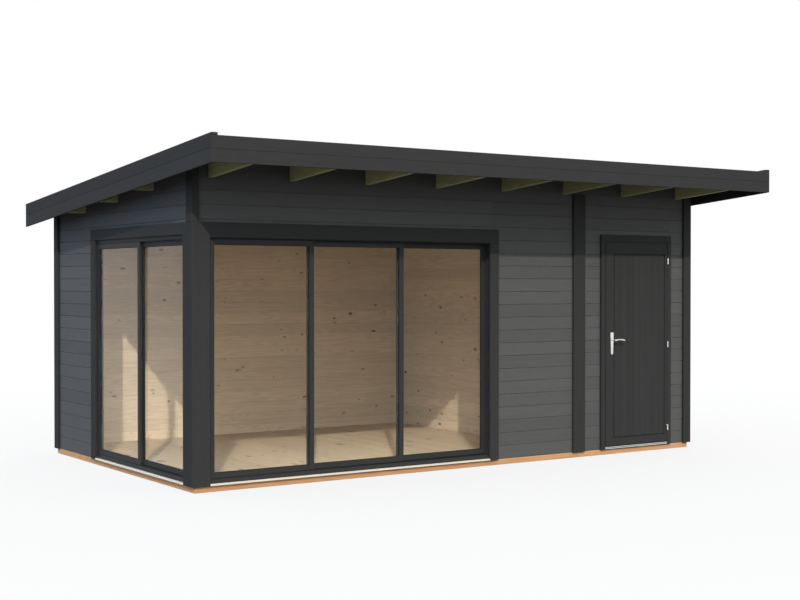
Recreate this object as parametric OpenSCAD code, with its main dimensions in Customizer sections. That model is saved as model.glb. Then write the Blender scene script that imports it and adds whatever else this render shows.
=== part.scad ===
// Garden office pod: log-board cabin with a glazed sliding corner, a store room and a pent roof
// Millimetres, front towards -Y, length along X, origin on the ground under the middle of the roof

/* [Building] */
// Front wall from the glazing frame to the middle of the partition
pier_w = 998; // [700:1:1400]
// Left wall from the glazing frame to the back wall face
back_pier_w = 967; // [500:1:1500]
// Thickness of the log walls
wall_t = 44; // [36:1:56]
// Height of the bearers under the walls
base_h = 49; // [30:1:60]
// Width of a bearer
bearer_w = 95; // [60:1:120]
// Distance between the joists under the floor
joist_gap = 470; // [400:5:600]
// Thickness of the floor boards
floor_t = 26; // [18:1:28]
// Open butt joint between pieces of one set
butt_gap = 0.3; // [0.2:0.1:0.5]

/* [Roof] */
// Overhang past the front wall
front_overhang = 820; // [600:5:900]
// Overhang past the back wall
back_overhang = 152; // [120:1:250]
// Overhang past the left end wall
left_overhang = 250; // [180:1:320]
// Overhang past the right end wall
right_overhang = 236; // [180:1:320]
// Height of the front wall over the glazing frame
over_glazing_h = 426; // [300:1:600]
// Fall of the roof in millimetres per metre
roof_fall = 81; // [50:1:90]
// Thickness of a rafter
rafter_w = 45; // [38:1:60]
// Upright depth of a rafter
rafter_d = 120; // [100:1:160]
// Distance from an end wall face to the first rafter
rafter_edge = 125; // [100:1:160]
// Number of rafters
rafter_n = 8; // [6:1:10]
// Number of lookouts that carry an end overhang
lookout_n = 3; // [2:1:5]
// Thickness of the roof boards
deck_t = 20; // [16:1:26]
// Thickness of the roof covering
covering_t = 3; // [2:0.5:6]
// Thickness of a fascia board
fascia_t = 20; // [16:1:28]
// Drop of the fascia below the rafters
fascia_drop = 28; // [10:1:40]
// Height of the front fascia
front_fascia_h = 193; // [180:1:230]
// Height of the back fascia, which covers the upper part of the rafter tails
back_fascia_h = 75; // [60:1:100]
// Upright height of the side fascias
side_fascia_h = 214; // [200:1:250]
// Width of the batten behind a side fascia
verge_w = 30; // [20:1:45]
// Width and depth of the groove between two fascia courses
course_groove = 5; // [3:0.5:8]

/* [Cover boards] */
// Thickness of the corner boards and trims
cover_t = 25; // [18:1:30]
// Front face of the board on the glazed corner
corner_front_w = 151; // [130:1:160]
// Side face of the board on the glazed corner
corner_side_w = 175; // [150:1:185]
// Front face of the board above the glazed corner
upper_front_w = 60; // [50:1:90]
// Side face of the board above the glazed corner
upper_side_w = 115; // [90:1:140]
// Width of the boards on the other corners
corner_w = 97; // [80:1:130]
// Width of the boards over the wall joint
joint_cover_w = 141; // [110:1:160]
// Width of the trim beside the glazing
jamb_trim_w = 95; // [70:1:110]
// Reach of the head trim above the glazing frame
head_trim_up = 84; // [60:1:110]
// Height of the trim over the front glazing
front_head_trim_h = 120; // [90:1:124]
// Height of the trim over the side glazing
side_head_trim_h = 95; // [70:1:124]

/* [Sliding glazing] */
// Corner post along the front
post_x = 99; // [80:1:110]
// Corner post along the side
post_y = 125; // [100:1:135]
// Width of a sash
sash_w = 937; // [860:1:960]
// Thickness of a sash
sash_t = 24; // [20:1:25]
// Width of a sash stile
stile_w = 44; // [40:1:60]
// Height of the bottom rail of a sash
bottom_rail_h = 57; // [48:1:80]
// Height of the top rail of a sash
top_rail_h = 59; // [48:1:80]
// Thickness of the glass
glass_t = 6; // [4:1:8]
// Depth of the glass behind the outer face of its sash
glass_inset = 5; // [4:0.5:6]
// Depth of the glass in its groove
glass_seat = 12; // [8:1:14]
// Room around the glass in its groove
glass_gap = 0.3; // [0.2:0.1:0.5]
// Distance from track to track
track_pitch = 30; // [30:1:40]
// Thickness of the fins between the tracks
fin_t = 2; // [1.5:0.5:3]
// Thickness of the glazing frame
frame_t = 40; // [34:1:50]
// Depth of the channels in the head and jambs
channel_d = 18; // [16:1:24]
// Depth by which a closed sash sits in its channel
engage = 12; // [8:1:12]
// Height of the pale sill under the track
sill_h = 22; // [18:1:30]
// Height of the track
track_h = 26; // [22:1:32]
// Height of the fins on the track
track_fin_h = 10; // [6:1:12]
// Running gap under a sash
run_gap = 0.3; // [0.2:0.1:0.6]
// Clear height of the glazing over the track
glazing_h = 1858; // [1800:1:1880]

/* [Store door] */
// Distance from the middle of the partition to the door trim
door_pier_w = 270; // [200:1:500]
// Distance from the right wall face to the door trim
door_edge = 244; // [210:1:500]
// Width of the door leaf
leaf_w = 792; // [700:1:820]
// Rise of the door leaf above the glazing's clear height
leaf_rise = 33; // [0:1:50]
// Thickness of the door leaf
leaf_t = 40; // [36:1:48]
// Gap around the door leaf
leaf_gap = 6; // [5:0.5:8]
// Width of the leaf's stile beside the handle
door_stile_w = 98; // [85:1:120]
// Width of the leaf's stile beside the hinges
hinge_stile_w = 30; // [26:1:110]
// Height of the top rail of the door
door_top_rail_h = 105; // [80:1:140]
// Height of the bottom rail of the door
door_bottom_rail_h = 70; // [60:1:140]
// Thickness of the panel where it sits in its groove
panel_t = 16; // [12:1:18]
// Depth of the panel in its groove
panel_seat = 10; // [6:1:14]
// Width of the open groove around the raised boards of the panel
panel_margin = 12; // [8:1:20]
// Width of that groove beside the hinge stile
hinge_margin = 4; // [3:1:20]
// Depth of the raised boards behind the face of the leaf
panel_inset = 3; // [2:0.5:5]
// Number of boards in the panel
panel_boards = 8; // [5:1:10]
// Width and depth of the groove between panel boards
board_groove = 5; // [3:0.5:6]
// Width of the trim boards beside the door
door_trim_w = 50; // [46:1:80]
// Height of the trim board over the door
door_head_trim_h = 68; // [50:1:90]
// Thickness of the door jambs
door_jamb_t = 38; // [30:1:44]
// Reach of the stop behind the leaf
stop_w = 15; // [10:1:20]
// Height of the threshold
threshold_h = 23; // [18:1:30]

/* [Hinges and handle] */
// Distance from the foot of the leaf to the lowest hinge
hinge_low = 137; // [100:1:300]
// Distance from the top of the leaf to the highest hinge
hinge_high = 170; // [100:1:300]
// Height of a hinge barrel
hinge_h = 56; // [50:1:90]
// Radius of a hinge barrel
barrel_r = 7; // [6:0.5:8]
// Radius of a hinge pin
pin_r = 3; // [2.5:0.5:4]
// Running gap around a hinge pin
pin_gap = 0.05; // [0.03:0.01:0.1]
// Thickness of a hinge plate
hinge_plate_t = 2; // [1.5:0.5:3]
// Width of a hinge plate
hinge_plate_w = 28; // [20:1:32]
// Distance from the leaf edge to the lever axis
handle_edge = 73; // [60:1:74]
// Height of the lever axis
lever_z = 1075; // [1000:1:1100]
// Height of the backplate above the lever axis
plate_up = 71; // [60:1:90]
// Height of the backplate below the lever axis
plate_down = 136; // [100:1:150]
// Width of the backplate at its top
plate_top_w = 40; // [34:1:44]
// Width of the backplate at its foot
plate_foot_w = 26; // [20:1:32]
// Thickness of the backplate
plate_t = 6; // [4:1:9]
// Length of the lever from its axis
lever_l = 131; // [110:1:145]
// Radius of the lever
lever_r = 8; // [6:0.5:10]
// Distance from the backplate to the middle of the lever
lever_out = 46; // [40:1:60]
// Radius of the spindle
spindle_r = 6; // [5:0.5:7]
// Running gap around the spindle
spindle_gap = 0.3; // [0.2:0.1:0.5]

/* [Hidden] */
$fn = 48;
// Overshoot of a cut
cut = 1;

// Glazing: along is measured from the frame's first end, across from the wall face inwards
front_n = 3;
side_n = 2;
step = sash_w - stile_w;
function clear_w(n) = n * sash_w - (n - 1) * stile_w - 2 * engage;
function frame_w(n) = clear_w(n) + 2 * frame_t;
function frame_d(n) = n * track_pitch + fin_t;
sill_top = base_h + sill_h;
track_top = sill_top + track_h;
sash_z = track_top - track_fin_h + run_gap;
head_z = track_top + glazing_h;
sash_top = head_z + engage;
frame_top = head_z + frame_t;
sash_h = sash_top - sash_z;
side_gap = (track_pitch - fin_t - sash_t) / 2;

// Plan: glazing, pier and store room make up the length, side glazing and pier the depth
door_w = leaf_w + 2 * leaf_gap + 2 * door_trim_w;
partition_x = post_x + frame_w(front_n) + pier_w;
wall_l = partition_x + door_pier_w + door_w + door_edge;
wall_w = post_y + frame_w(side_n) + back_pier_w;
roof_w = front_overhang + wall_w + back_overhang;
roof_l = left_overhang + wall_l + right_overhang;
x_verge = -roof_l / 2;
x_verge_right = roof_l / 2;
x_left = x_verge + left_overhang;
x_right = x_verge_right - right_overhang;
y_eave = -roof_w / 2;
y_front = y_eave + front_overhang;
y_back = y_front + wall_w;
y_rear = roof_w / 2;
front_x0 = x_left + post_x + butt_gap;
front_x1 = front_x0 + frame_w(front_n);
side_y0 = y_front + post_y + butt_gap;
side_y1 = side_y0 + frame_w(side_n);
slope = roof_fall / 1000;
eaves_z = frame_top + over_glazing_h;
head_trim_z = frame_top + head_trim_up;
// Height of the rafters' underside at a given depth
function under(y) = eaves_z - slope * (y - y_front);

x_part = x_left + partition_x;
floor_z = base_h + floor_t;

// Door
leaf_top = head_z + leaf_rise;
trim_x1 = x_right - door_edge;
leaf_x1 = trim_x1 - door_trim_w - leaf_gap;
leaf_x0 = leaf_x1 - leaf_w;
jamb_x0 = leaf_x0 - leaf_gap;
jamb_x1 = leaf_x1 + leaf_gap;
door_head_z = leaf_top + leaf_gap;
door_open_x0 = jamb_x0 - door_jamb_t - butt_gap;
door_open_x1 = jamb_x1 + door_jamb_t + butt_gap;
door_open_z = door_head_z + door_jamb_t + butt_gap;
threshold_z = base_h + threshold_h;
leaf_z = threshold_z + leaf_gap;
leaf_y = y_front - cover_t;
leaf_back = leaf_y + leaf_t;
panel_y = leaf_y + (leaf_t - panel_t) / 2;
hinge_z0 = leaf_z + hinge_low;
hinge_z1 = leaf_top - hinge_high;
hinge_heights = [hinge_z0, (hinge_z0 + hinge_z1) / 2, hinge_z1];
hinge_x = leaf_x1 + leaf_gap / 2;
hinge_y = leaf_y - barrel_r - run_gap;
handle_x = leaf_x0 + handle_edge;
// Share of the lever's length and rise over its axis at each bend
lever_bends = [[0, 0], [0.35, 4], [0.75, -1], [1, -7]];

paint = "#3d3d3c";
wall_paint = "#5a5957";
treated = "#8a835c";
spruce = "#d8b98c";
base_wood = "#c8935f";

// Shared shapes

module block(x0, x1, y0, y1, z0, z1) {
    translate([x0, y0, z0]) cube([x1 - x0, y1 - y0, z1 - z0]);
}

// Outline in depth and height, drawn along the building from x0 to x1
module along_x(x0, x1, points) {
    translate([x0, 0, 0]) rotate([90, 0, 90]) linear_extrude(x1 - x0) polygon(points);
}

// Wall run whose top follows the rafters' underside
module wall_run(x0, x1, y0, y1, z0, rise = 0) {
    up = rise - butt_gap;
    along_x(x0, x1, [[y0, z0], [y1, z0], [y1, under(y1) + up], [y0, under(y0) + up]]);
}

// Sloping layer between two heights over the rafters' underside
module roof_layer(x0, x1, y0, y1, low, high) {
    along_x(x0, x1, [[y0, under(y0) + low], [y1, under(y1) + low],
        [y1, under(y1) + high], [y0, under(y0) + high]]);
}

// Base and floor

module base_bearers() {
    color(base_wood) {
        for (x = [[x_left, x_part - butt_gap], [x_part + butt_gap, x_right]]) {
            block(x[0], x[1], y_front, y_front + bearer_w, 0, base_h);
            block(x[0], x[1], y_back - bearer_w, y_back, 0, base_h);
            room_bearers(x[0], x[1]);
        }
    }
}

module room_bearers(x0, x1) {
    y0 = y_front + bearer_w + butt_gap;
    y1 = y_back - bearer_w - butt_gap;
    count = floor((y1 - y0) / joist_gap);
    pitch = (y1 - y0) / (count + 1);
    block(x0, x0 + bearer_w, y0, y1, 0, base_h);
    block(x1 - bearer_w, x1, y0, y1, 0, base_h);
    for (i = [1 : count])
        block(x0 + bearer_w + butt_gap, x1 - bearer_w - butt_gap,
            y0 + i * pitch - bearer_w / 2, y0 + i * pitch + bearer_w / 2, 0, base_h);
}

module floor_boards() {
    color(spruce) {
        difference() {
            block(x_left + wall_t, x_part - wall_t / 2, y_front + wall_t, y_back - wall_t, base_h, floor_z);
            block(x_left, front_x1 + butt_gap, y_front, y_front + frame_d(front_n) + butt_gap,
                base_h - cut, floor_z + cut);
            block(x_left, x_left + frame_d(side_n) + butt_gap, y_front, side_y1 + butt_gap,
                base_h - cut, floor_z + cut);
            block(x_left, x_left + post_x + butt_gap, y_front, y_front + post_y + butt_gap,
                base_h - cut, floor_z + cut);
        }
        block(x_part + wall_t / 2, x_right - wall_t, y_front + wall_t, y_back - wall_t, base_h, floor_z);
    }
}

// Walls

module back_wall() {
    color(wall_paint) wall_run(x_left, x_right, y_back - wall_t, y_back, base_h);
}

module right_wall() {
    color(wall_paint) wall_run(x_right - wall_t, x_right, y_front + wall_t, y_back - wall_t, base_h);
}

module left_wall_back() {
    color(wall_paint)
        wall_run(x_left, x_left + wall_t, side_y1 + butt_gap, y_back - wall_t, base_h);
}

module left_wall_over_window() {
    color(wall_paint)
        wall_run(x_left, x_left + wall_t, y_front + wall_t, side_y1 + butt_gap, frame_top + butt_gap);
}

module front_wall_over_window() {
    color(wall_paint)
        wall_run(x_left, front_x1 + butt_gap, y_front, y_front + wall_t, frame_top + butt_gap);
}

module front_wall_middle() {
    color(wall_paint) wall_run(front_x1 + butt_gap, x_part, y_front, y_front + wall_t, base_h);
}

module front_wall_left_of_door() {
    color(wall_paint) wall_run(x_part, door_open_x0, y_front, y_front + wall_t, base_h);
}

module front_wall_over_door() {
    color(wall_paint) wall_run(door_open_x0, door_open_x1, y_front, y_front + wall_t, door_open_z);
}

module front_wall_right_of_door() {
    color(wall_paint) wall_run(door_open_x1, x_right, y_front, y_front + wall_t, base_h);
}

module partition_wall() {
    color(spruce) wall_run(x_part - wall_t / 2, x_part + wall_t / 2,
        y_front + wall_t, y_back - wall_t, base_h);
}

module corner_post() {
    color(paint) block(x_left, x_left + post_x, y_front, y_front + post_y, base_h, frame_top);
}

// Cover boards

// Board on a front or back wall face; side is -1 at the front and 1 at the back
module face_board(x0, x1, side, z0, rise = 0) {
    y = side < 0 ? y_front : y_back;
    y0 = side < 0 ? y - cover_t : y;
    wall_run(x0, x1, y0, y0 + cover_t, z0, rise);
}

module corner_boards() {
    color(paint) {
        block(x_left - cover_t, x_left - cover_t + corner_front_w, y_front - cover_t, y_front,
            base_h, head_trim_z);
        block(x_left - cover_t, x_left, y_front + butt_gap, y_front - cover_t + corner_side_w,
            base_h, head_trim_z);
        face_board(x_left - cover_t, x_left - cover_t + upper_front_w, -1,
            head_trim_z + butt_gap, rafter_d);
        wall_run(x_left - cover_t, x_left, y_front + butt_gap, y_front - cover_t + upper_side_w,
            head_trim_z + butt_gap, rafter_d);
        for (side = [-1, 1])
            face_board(x_right + cover_t - corner_w, x_right + cover_t, side, base_h, rafter_d);
        face_board(x_left - cover_t, x_left - cover_t + corner_w, 1, base_h, rafter_d);
        wall_run(x_right, x_right + cover_t, y_front + butt_gap, y_front - cover_t + corner_w, base_h,
            rafter_d);
        for (x = [x_left - cover_t, x_right])
            wall_run(x, x + cover_t, y_back + cover_t - corner_w, y_back - butt_gap, base_h, rafter_d);
    }
}

module joint_covers() {
    color(paint) for (side = [-1, 1])
        face_board(x_part - joint_cover_w / 2, x_part + joint_cover_w / 2, side, base_h);
}

module glazing_trim() {
    front_edge = front_x1 - frame_t;
    side_edge = side_y1 - frame_t;
    front_head = head_trim_z - front_head_trim_h;
    side_head = head_trim_z - side_head_trim_h;
    color(paint) {
        block(x_left - cover_t + corner_front_w + butt_gap, front_edge + jamb_trim_w,
            y_front - cover_t, y_front, front_head, head_trim_z);
        block(front_edge, front_edge + jamb_trim_w, y_front - cover_t, y_front,
            base_h, front_head - butt_gap);
        block(x_left - cover_t, x_left, y_front - cover_t + corner_side_w + butt_gap,
            side_edge + jamb_trim_w, side_head, head_trim_z);
        block(x_left - cover_t, x_left, side_edge, side_edge + jamb_trim_w,
            base_h, side_head - butt_gap);
    }
}

// Sliding glazing

// Front set starts at the corner, side set starts at its back end
module at_front() {
    translate([front_x0, y_front, 0]) children();
}

module at_side() {
    translate([x_left, side_y1, 0]) rotate(-90) children();
}

// Head, jambs and track with one channel for each sash
module glazing_frame(n) {
    w = frame_w(n);
    d = frame_d(n);
    difference() {
        for (x = [0, w - frame_t])
            block(x, x + frame_t, 0, d, base_h, frame_top);
        for (i = [0 : n - 1])
            block(frame_t - channel_d, w - frame_t + channel_d, fin_t + i * track_pitch,
                (i + 1) * track_pitch, base_h - cut, frame_top + cut);
    }
    difference() {
        block(frame_t + butt_gap, w - frame_t - butt_gap, 0, d, head_z, frame_top);
        for (i = [0 : n - 1])
            block(0, w, fin_t + i * track_pitch, (i + 1) * track_pitch, head_z - cut, head_z + channel_d);
    }
    difference() {
        block(frame_t + butt_gap, w - frame_t - butt_gap, 0, d, sill_top, track_top);
        for (i = [0 : n - 1])
            block(0, w, fin_t + i * track_pitch, (i + 1) * track_pitch,
                track_top - track_fin_h, track_top + cut);
    }
}

// Place of the sash with this number, counted from the outermost track
module on_track(i) {
    translate([frame_t - engage + i * step, fin_t + i * track_pitch + side_gap, sash_z]) children();
}

// Two stiles and two rails with a groove for the glass
module sash() {
    groove_t = glass_t + 2 * glass_gap;
    groove_y = glass_inset - glass_gap;
    difference() {
        union() {
            for (x = [0, sash_w - stile_w])
                block(x, x + stile_w, 0, sash_t, 0, sash_h);
            block(stile_w + butt_gap, sash_w - stile_w - butt_gap, 0, sash_t, 0, bottom_rail_h);
            block(stile_w + butt_gap, sash_w - stile_w - butt_gap, 0, sash_t, sash_h - top_rail_h, sash_h);
        }
        block(stile_w - glass_seat - glass_gap, sash_w - stile_w + glass_seat + glass_gap,
            groove_y, groove_y + groove_t,
            bottom_rail_h - glass_seat - glass_gap, sash_h - top_rail_h + glass_seat + glass_gap);
    }
}

module pane() {
    block(stile_w - glass_seat, sash_w - stile_w + glass_seat, glass_inset, glass_inset + glass_t,
        bottom_rail_h - glass_seat, sash_h - top_rail_h + glass_seat);
}

module front_glazing_frame() { color(paint) at_front() glazing_frame(front_n); }
module side_glazing_frame() { color(paint) at_side() glazing_frame(side_n); }

module front_sash_left() { color(paint) at_front() on_track(0) sash(); }
module front_sash_middle() { color(paint) at_front() on_track(1) sash(); }
module front_sash_right() { color(paint) at_front() on_track(2) sash(); }
module side_sash_back() { color(paint) at_side() on_track(0) sash(); }
module side_sash_front() { color(paint) at_side() on_track(1) sash(); }

module front_glass_left() { color("lightblue", 0.4) at_front() on_track(0) pane(); }
module front_glass_middle() { color("lightblue", 0.4) at_front() on_track(1) pane(); }
module front_glass_right() { color("lightblue", 0.4) at_front() on_track(2) pane(); }
module side_glass_back() { color("lightblue", 0.4) at_side() on_track(0) pane(); }
module side_glass_front() { color("lightblue", 0.4) at_side() on_track(1) pane(); }

// Pale sill under a track, with a nosing between the boards beside it
module sill(n, start, end) {
    block(frame_t + butt_gap, frame_w(n) - frame_t - butt_gap, 0, frame_d(n), base_h, sill_top);
    block(start, end, -cover_t, 0, base_h, sill_top);
}

module glazing_sills() {
    front_start = corner_front_w - cover_t - post_x;
    side_end = side_y1 - (y_front - cover_t + corner_side_w) - butt_gap;
    color("#e6e4dc") {
        at_front() sill(front_n, front_start, frame_w(front_n) - frame_t - butt_gap);
        at_side() sill(side_n, frame_t + butt_gap, side_end);
    }
}

// Store door

module door_frame() {
    stop_y = leaf_back + leaf_gap;
    color(paint) {
        for (side = [0, 1])
            door_jamb(side == 0 ? jamb_x0 - door_jamb_t : jamb_x1, side == 0 ? jamb_x0 : jamb_x1 - stop_w,
                stop_y);
        block(jamb_x0 + butt_gap, jamb_x1 - butt_gap, y_front, y_front + wall_t,
            door_head_z, door_head_z + door_jamb_t);
        block(jamb_x0 + stop_w + butt_gap, jamb_x1 - stop_w - butt_gap, stop_y, y_front + wall_t,
            door_head_z - stop_w, door_head_z);
    }
}

// Upright with the stop that the leaf closes on
module door_jamb(x, stop_x, stop_y) {
    block(x, x + door_jamb_t, y_front, y_front + wall_t, base_h, door_head_z + door_jamb_t);
    block(stop_x, stop_x + stop_w, stop_y, y_front + wall_t, threshold_z + butt_gap,
        door_head_z - butt_gap);
}

module door_trim() {
    color(paint) {
        for (x = [jamb_x0 - door_trim_w, jamb_x1])
            block(x, x + door_trim_w, y_front - cover_t, y_front, base_h, door_head_z);
        block(jamb_x0 - door_trim_w, jamb_x1 + door_trim_w, y_front - cover_t, y_front,
            door_head_z + butt_gap, door_head_z + door_head_trim_h);
    }
}

module door_threshold() {
    color("#c9cacb") block(jamb_x0 + butt_gap, jamb_x1 - butt_gap, y_front - cover_t, y_front + wall_t,
        base_h, threshold_z);
}

module door_leaf() {
    inner_x0 = leaf_x0 + door_stile_w;
    inner_x1 = leaf_x1 - hinge_stile_w;
    color(paint) difference() {
        union() {
            block(leaf_x0, inner_x0, leaf_y, leaf_back, leaf_z, leaf_top);
            block(inner_x1, leaf_x1, leaf_y, leaf_back, leaf_z, leaf_top);
            block(inner_x0 + butt_gap, inner_x1 - butt_gap, leaf_y, leaf_back,
                leaf_z, leaf_z + door_bottom_rail_h);
            block(inner_x0 + butt_gap, inner_x1 - butt_gap, leaf_y, leaf_back,
                leaf_top - door_top_rail_h, leaf_top);
        }
        block(inner_x0 - panel_seat - butt_gap, inner_x1 + panel_seat + butt_gap,
            panel_y - butt_gap, panel_y + panel_t + butt_gap,
            leaf_z + door_bottom_rail_h - panel_seat - butt_gap,
            leaf_top - door_top_rail_h + panel_seat + butt_gap);
        translate([handle_x, leaf_y - cut, lever_z]) rotate([-90, 0, 0])
            cylinder(r = spindle_r + spindle_gap, h = leaf_t + 2 * cut);
    }
}

// Panel in the leaf's groove, with boards that stand out on both faces inside an open margin
module door_panel() {
    x0 = leaf_x0 + door_stile_w;
    x1 = leaf_x1 - hinge_stile_w;
    z0 = leaf_z + door_bottom_rail_h;
    z1 = leaf_top - door_top_rail_h;
    field_x0 = x0 + panel_margin;
    field_x1 = x1 - hinge_margin;
    field_y = [leaf_y + panel_inset, leaf_back - panel_inset];
    field_z0 = z0 + panel_margin;
    field_z1 = z1 - panel_margin;
    board = (field_x1 - field_x0) / panel_boards;
    color(paint) difference() {
        union() {
            block(x0 - panel_seat, x1 + panel_seat, panel_y, panel_y + panel_t,
                z0 - panel_seat, z1 + panel_seat);
            block(field_x0, field_x1, field_y[0], field_y[1], field_z0, field_z1);
        }
        for (i = [1 : panel_boards - 1], y = field_y)
            translate([field_x0 + i * board, y, field_z0]) rotate(45)
                translate([-board_groove / 2, -board_groove / 2, -cut])
                    cube([board_groove, board_groove, field_z1 - field_z0 + 2 * cut]);
    }
}

// Hinges and handle

// Plate from the barrel's axis back into the gap, on the face at x of the trim or the leaf
module hinge_plate(x, z0, z1) {
    block(x, x + hinge_plate_t, hinge_y, hinge_y + hinge_plate_w, z0, z1);
}

// Lower barrels with their pins and plates, on the frame side
module hinge_frame_halves() {
    half = hinge_h / 2;
    color("silver") for (z = hinge_heights) {
        translate([hinge_x, hinge_y, z - half]) {
            cylinder(r = barrel_r, h = half - run_gap);
            cylinder(r = pin_r, h = 2 * half - hinge_plate_t);
        }
        hinge_plate(jamb_x1 - hinge_plate_t, z - half, z - run_gap);
    }
}

// Upper barrels with their plates, on the leaf side
module hinge_door_halves() {
    half = hinge_h / 2;
    color("silver") for (z = hinge_heights) difference() {
        union() {
            translate([hinge_x, hinge_y, z]) cylinder(r = barrel_r, h = half);
            hinge_plate(leaf_x1, z, z + half);
        }
        translate([hinge_x, hinge_y, z - cut]) cylinder(r = pin_r + pin_gap, h = half);
    }
}

// Tapered backplate outline around the lever axis
module plate_outline() {
    top_r = plate_top_w / 2;
    foot_r = plate_foot_w / 2;
    translate([0, plate_up - top_r]) circle(r = top_r);
    translate([0, foot_r - plate_down]) circle(r = foot_r);
    polygon([[-top_r, plate_up - top_r], [-foot_r, foot_r - plate_down],
        [foot_r, foot_r - plate_down], [top_r, plate_up - top_r]]);
}

module handle_plates() {
    color("silver") for (y = [leaf_y, leaf_back + plate_t])
        translate([handle_x, y, lever_z]) rotate([90, 0, 0]) linear_extrude(plate_t) difference() {
            plate_outline();
            circle(r = spindle_r + spindle_gap);
        }
}

// Lever arm on one side of the leaf; side is -1 outside and 1 inside
module lever_arm(side) {
    y = (side < 0 ? leaf_y : leaf_back) + side * (plate_t + lever_out);
    for (i = [0 : len(lever_bends) - 2]) hull() for (bend = [lever_bends[i], lever_bends[i + 1]])
        translate([handle_x + bend[0] * (lever_l - lever_r), y, lever_z + bend[1]])
            sphere(r = lever_r, $fn = $fn / 2);
}

module handle_levers() {
    reach = plate_t + lever_out;
    color("silver") {
        translate([handle_x, leaf_y - reach, lever_z]) rotate([-90, 0, 0])
            cylinder(r = spindle_r, h = leaf_t + 2 * reach);
        for (side = [-1, 1]) lever_arm(side);
    }
}

// Roof

rafter_pitch = (wall_l - 2 * rafter_edge - rafter_w) / (rafter_n - 1);
function rafter_x(i) = x_left + rafter_edge + i * rafter_pitch;
y_roof0 = y_eave + fascia_t;
y_roof1 = y_rear - fascia_t;
x_roof0 = x_verge + fascia_t;
x_roof1 = x_verge_right - fascia_t;
function lookout_y(i) = y_front + (i + 1) * wall_w / (lookout_n + 1);
// Ends of the open bays beside the lookouts, over a side wall
function bay_y0(i) = i == 0 ? y_front : lookout_y(i - 1) + rafter_w + butt_gap;
function bay_y1(i) = i == lookout_n ? y_back : lookout_y(i) - butt_gap;
back_fascia_z = under(y_roof1) + rafter_d + deck_t - back_fascia_h;

// Rafters whose tails taper behind the back wall up to the back fascia
module rafters() {
    color(treated) for (i = [0 : rafter_n - 1])
        along_x(rafter_x(i), rafter_x(i) + rafter_w, [[y_roof0, under(y_roof0)], [y_back, under(y_back)],
            [y_roof1, back_fascia_z], [y_roof1, under(y_roof1) + rafter_d],
            [y_roof0, under(y_roof0) + rafter_d]]);
}

module roof_lookouts() {
    last = rafter_x(rafter_n - 1) + rafter_w;
    color(treated) for (i = [0 : lookout_n - 1], x = [[x_roof0, rafter_x(0)], [last, x_roof1]])
        roof_layer(x[0], x[1], lookout_y(i), lookout_y(i) + rafter_w, 0, rafter_d);
}

// Boards that close the gaps over the walls, between the rafters and between the lookouts
module eaves_blocking() {
    color(wall_paint) {
        for (i = [0 : rafter_n - 2], y = [y_front, y_back - wall_t])
            roof_layer(rafter_x(i) + rafter_w + butt_gap, rafter_x(i + 1) - butt_gap, y, y + wall_t,
                0, rafter_d);
        for (i = [0 : lookout_n], x = [x_left, x_right - wall_t])
            roof_layer(x, x + wall_t, bay_y0(i), bay_y1(i), 0, rafter_d);
        for (y = [y_front, y_back - wall_t],
            x = [[x_left + wall_t, rafter_x(0)], [rafter_x(rafter_n - 1) + rafter_w, x_right - wall_t]])
            roof_layer(x[0] + butt_gap, x[1] - butt_gap, y, y + wall_t, 0, rafter_d);
    }
}

module roof_boards() {
    color(spruce) roof_layer(x_roof0, x_roof1, y_roof0, y_roof1, rafter_d + butt_gap, rafter_d + deck_t);
}

module roof_covering() {
    low = rafter_d + deck_t;
    color("#2c2d2e") roof_layer(x_roof0, x_roof1, y_roof0, y_roof1, low, low + covering_t);
}

// Two courses with a groove between them on the outer face, and raised ends that meet the verges
module front_fascia() {
    low = under(y_eave) - fascia_drop;
    mid = low + front_fascia_h / 2;
    high = low + front_fascia_h;
    end_w = fascia_t + verge_w;
    end_z = under(y_roof0) + side_fascia_h - fascia_drop;
    color(paint) union() {
        along_x(x_verge, x_verge_right, [[y_roof0, low], [y_eave, low], [y_eave, mid - course_groove / 2],
            [y_eave + course_groove, mid], [y_eave, mid + course_groove / 2],
            [y_eave, high], [y_roof0, high]]);
        for (x = [x_verge, x_verge_right - end_w])
            block(x, x + end_w, y_eave, y_roof0, high - fascia_t, end_z);
    }
}

// Shallow board between the side fascias, level with the top of the roof boards
module back_fascia() {
    color(paint) block(x_roof0, x_roof1, y_roof1, y_rear, back_fascia_z, back_fascia_z + back_fascia_h);
}

module side_fascias() {
    mid = side_fascia_h / 2 - fascia_drop;
    color(paint) for (side = [-1, 1]) {
        x0 = side < 0 ? x_verge : x_roof1;
        face = side < 0 ? x_verge : x_verge_right;
        difference() {
            roof_layer(x0, x0 + fascia_t, y_roof0, y_rear, -fascia_drop, side_fascia_h - fascia_drop);
            roof_layer(face - course_groove / 2, face + course_groove / 2, y_eave, y_rear + cut,
                mid - course_groove / 2, mid + course_groove / 2);
        }
    }
}

module verge_battens() {
    low = rafter_d + deck_t + covering_t;
    color(paint) for (x = [x_roof0, x_roof1 - verge_w])
        roof_layer(x, x + verge_w, y_roof0, y_roof1, low, side_fascia_h - fascia_drop);
}

base_bearers();
floor_boards();  // floor
back_wall();
right_wall();
left_wall_back();
left_wall_over_window();
front_wall_over_window();
front_wall_middle();
front_wall_left_of_door();
front_wall_over_door();
front_wall_right_of_door();
partition_wall();
corner_post();
corner_boards();
joint_covers();
glazing_trim();
front_glazing_frame();
side_glazing_frame();
glazing_sills();
front_sash_left();
front_sash_middle();
front_sash_right();
side_sash_back();
side_sash_front();
front_glass_left();
front_glass_middle();
front_glass_right();
side_glass_back();
side_glass_front();
door_frame();
door_trim();
door_threshold();
door_leaf();
door_panel();
hinge_frame_halves();
hinge_door_halves();
handle_plates();
handle_levers();
rafters();
roof_lookouts();
eaves_blocking();
roof_boards();
roof_covering();
front_fascia();
back_fascia();
side_fascias();
verge_battens();
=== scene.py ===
"""Garden office pod: boards, glazing, hardware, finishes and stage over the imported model."""

import math
import random

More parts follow.
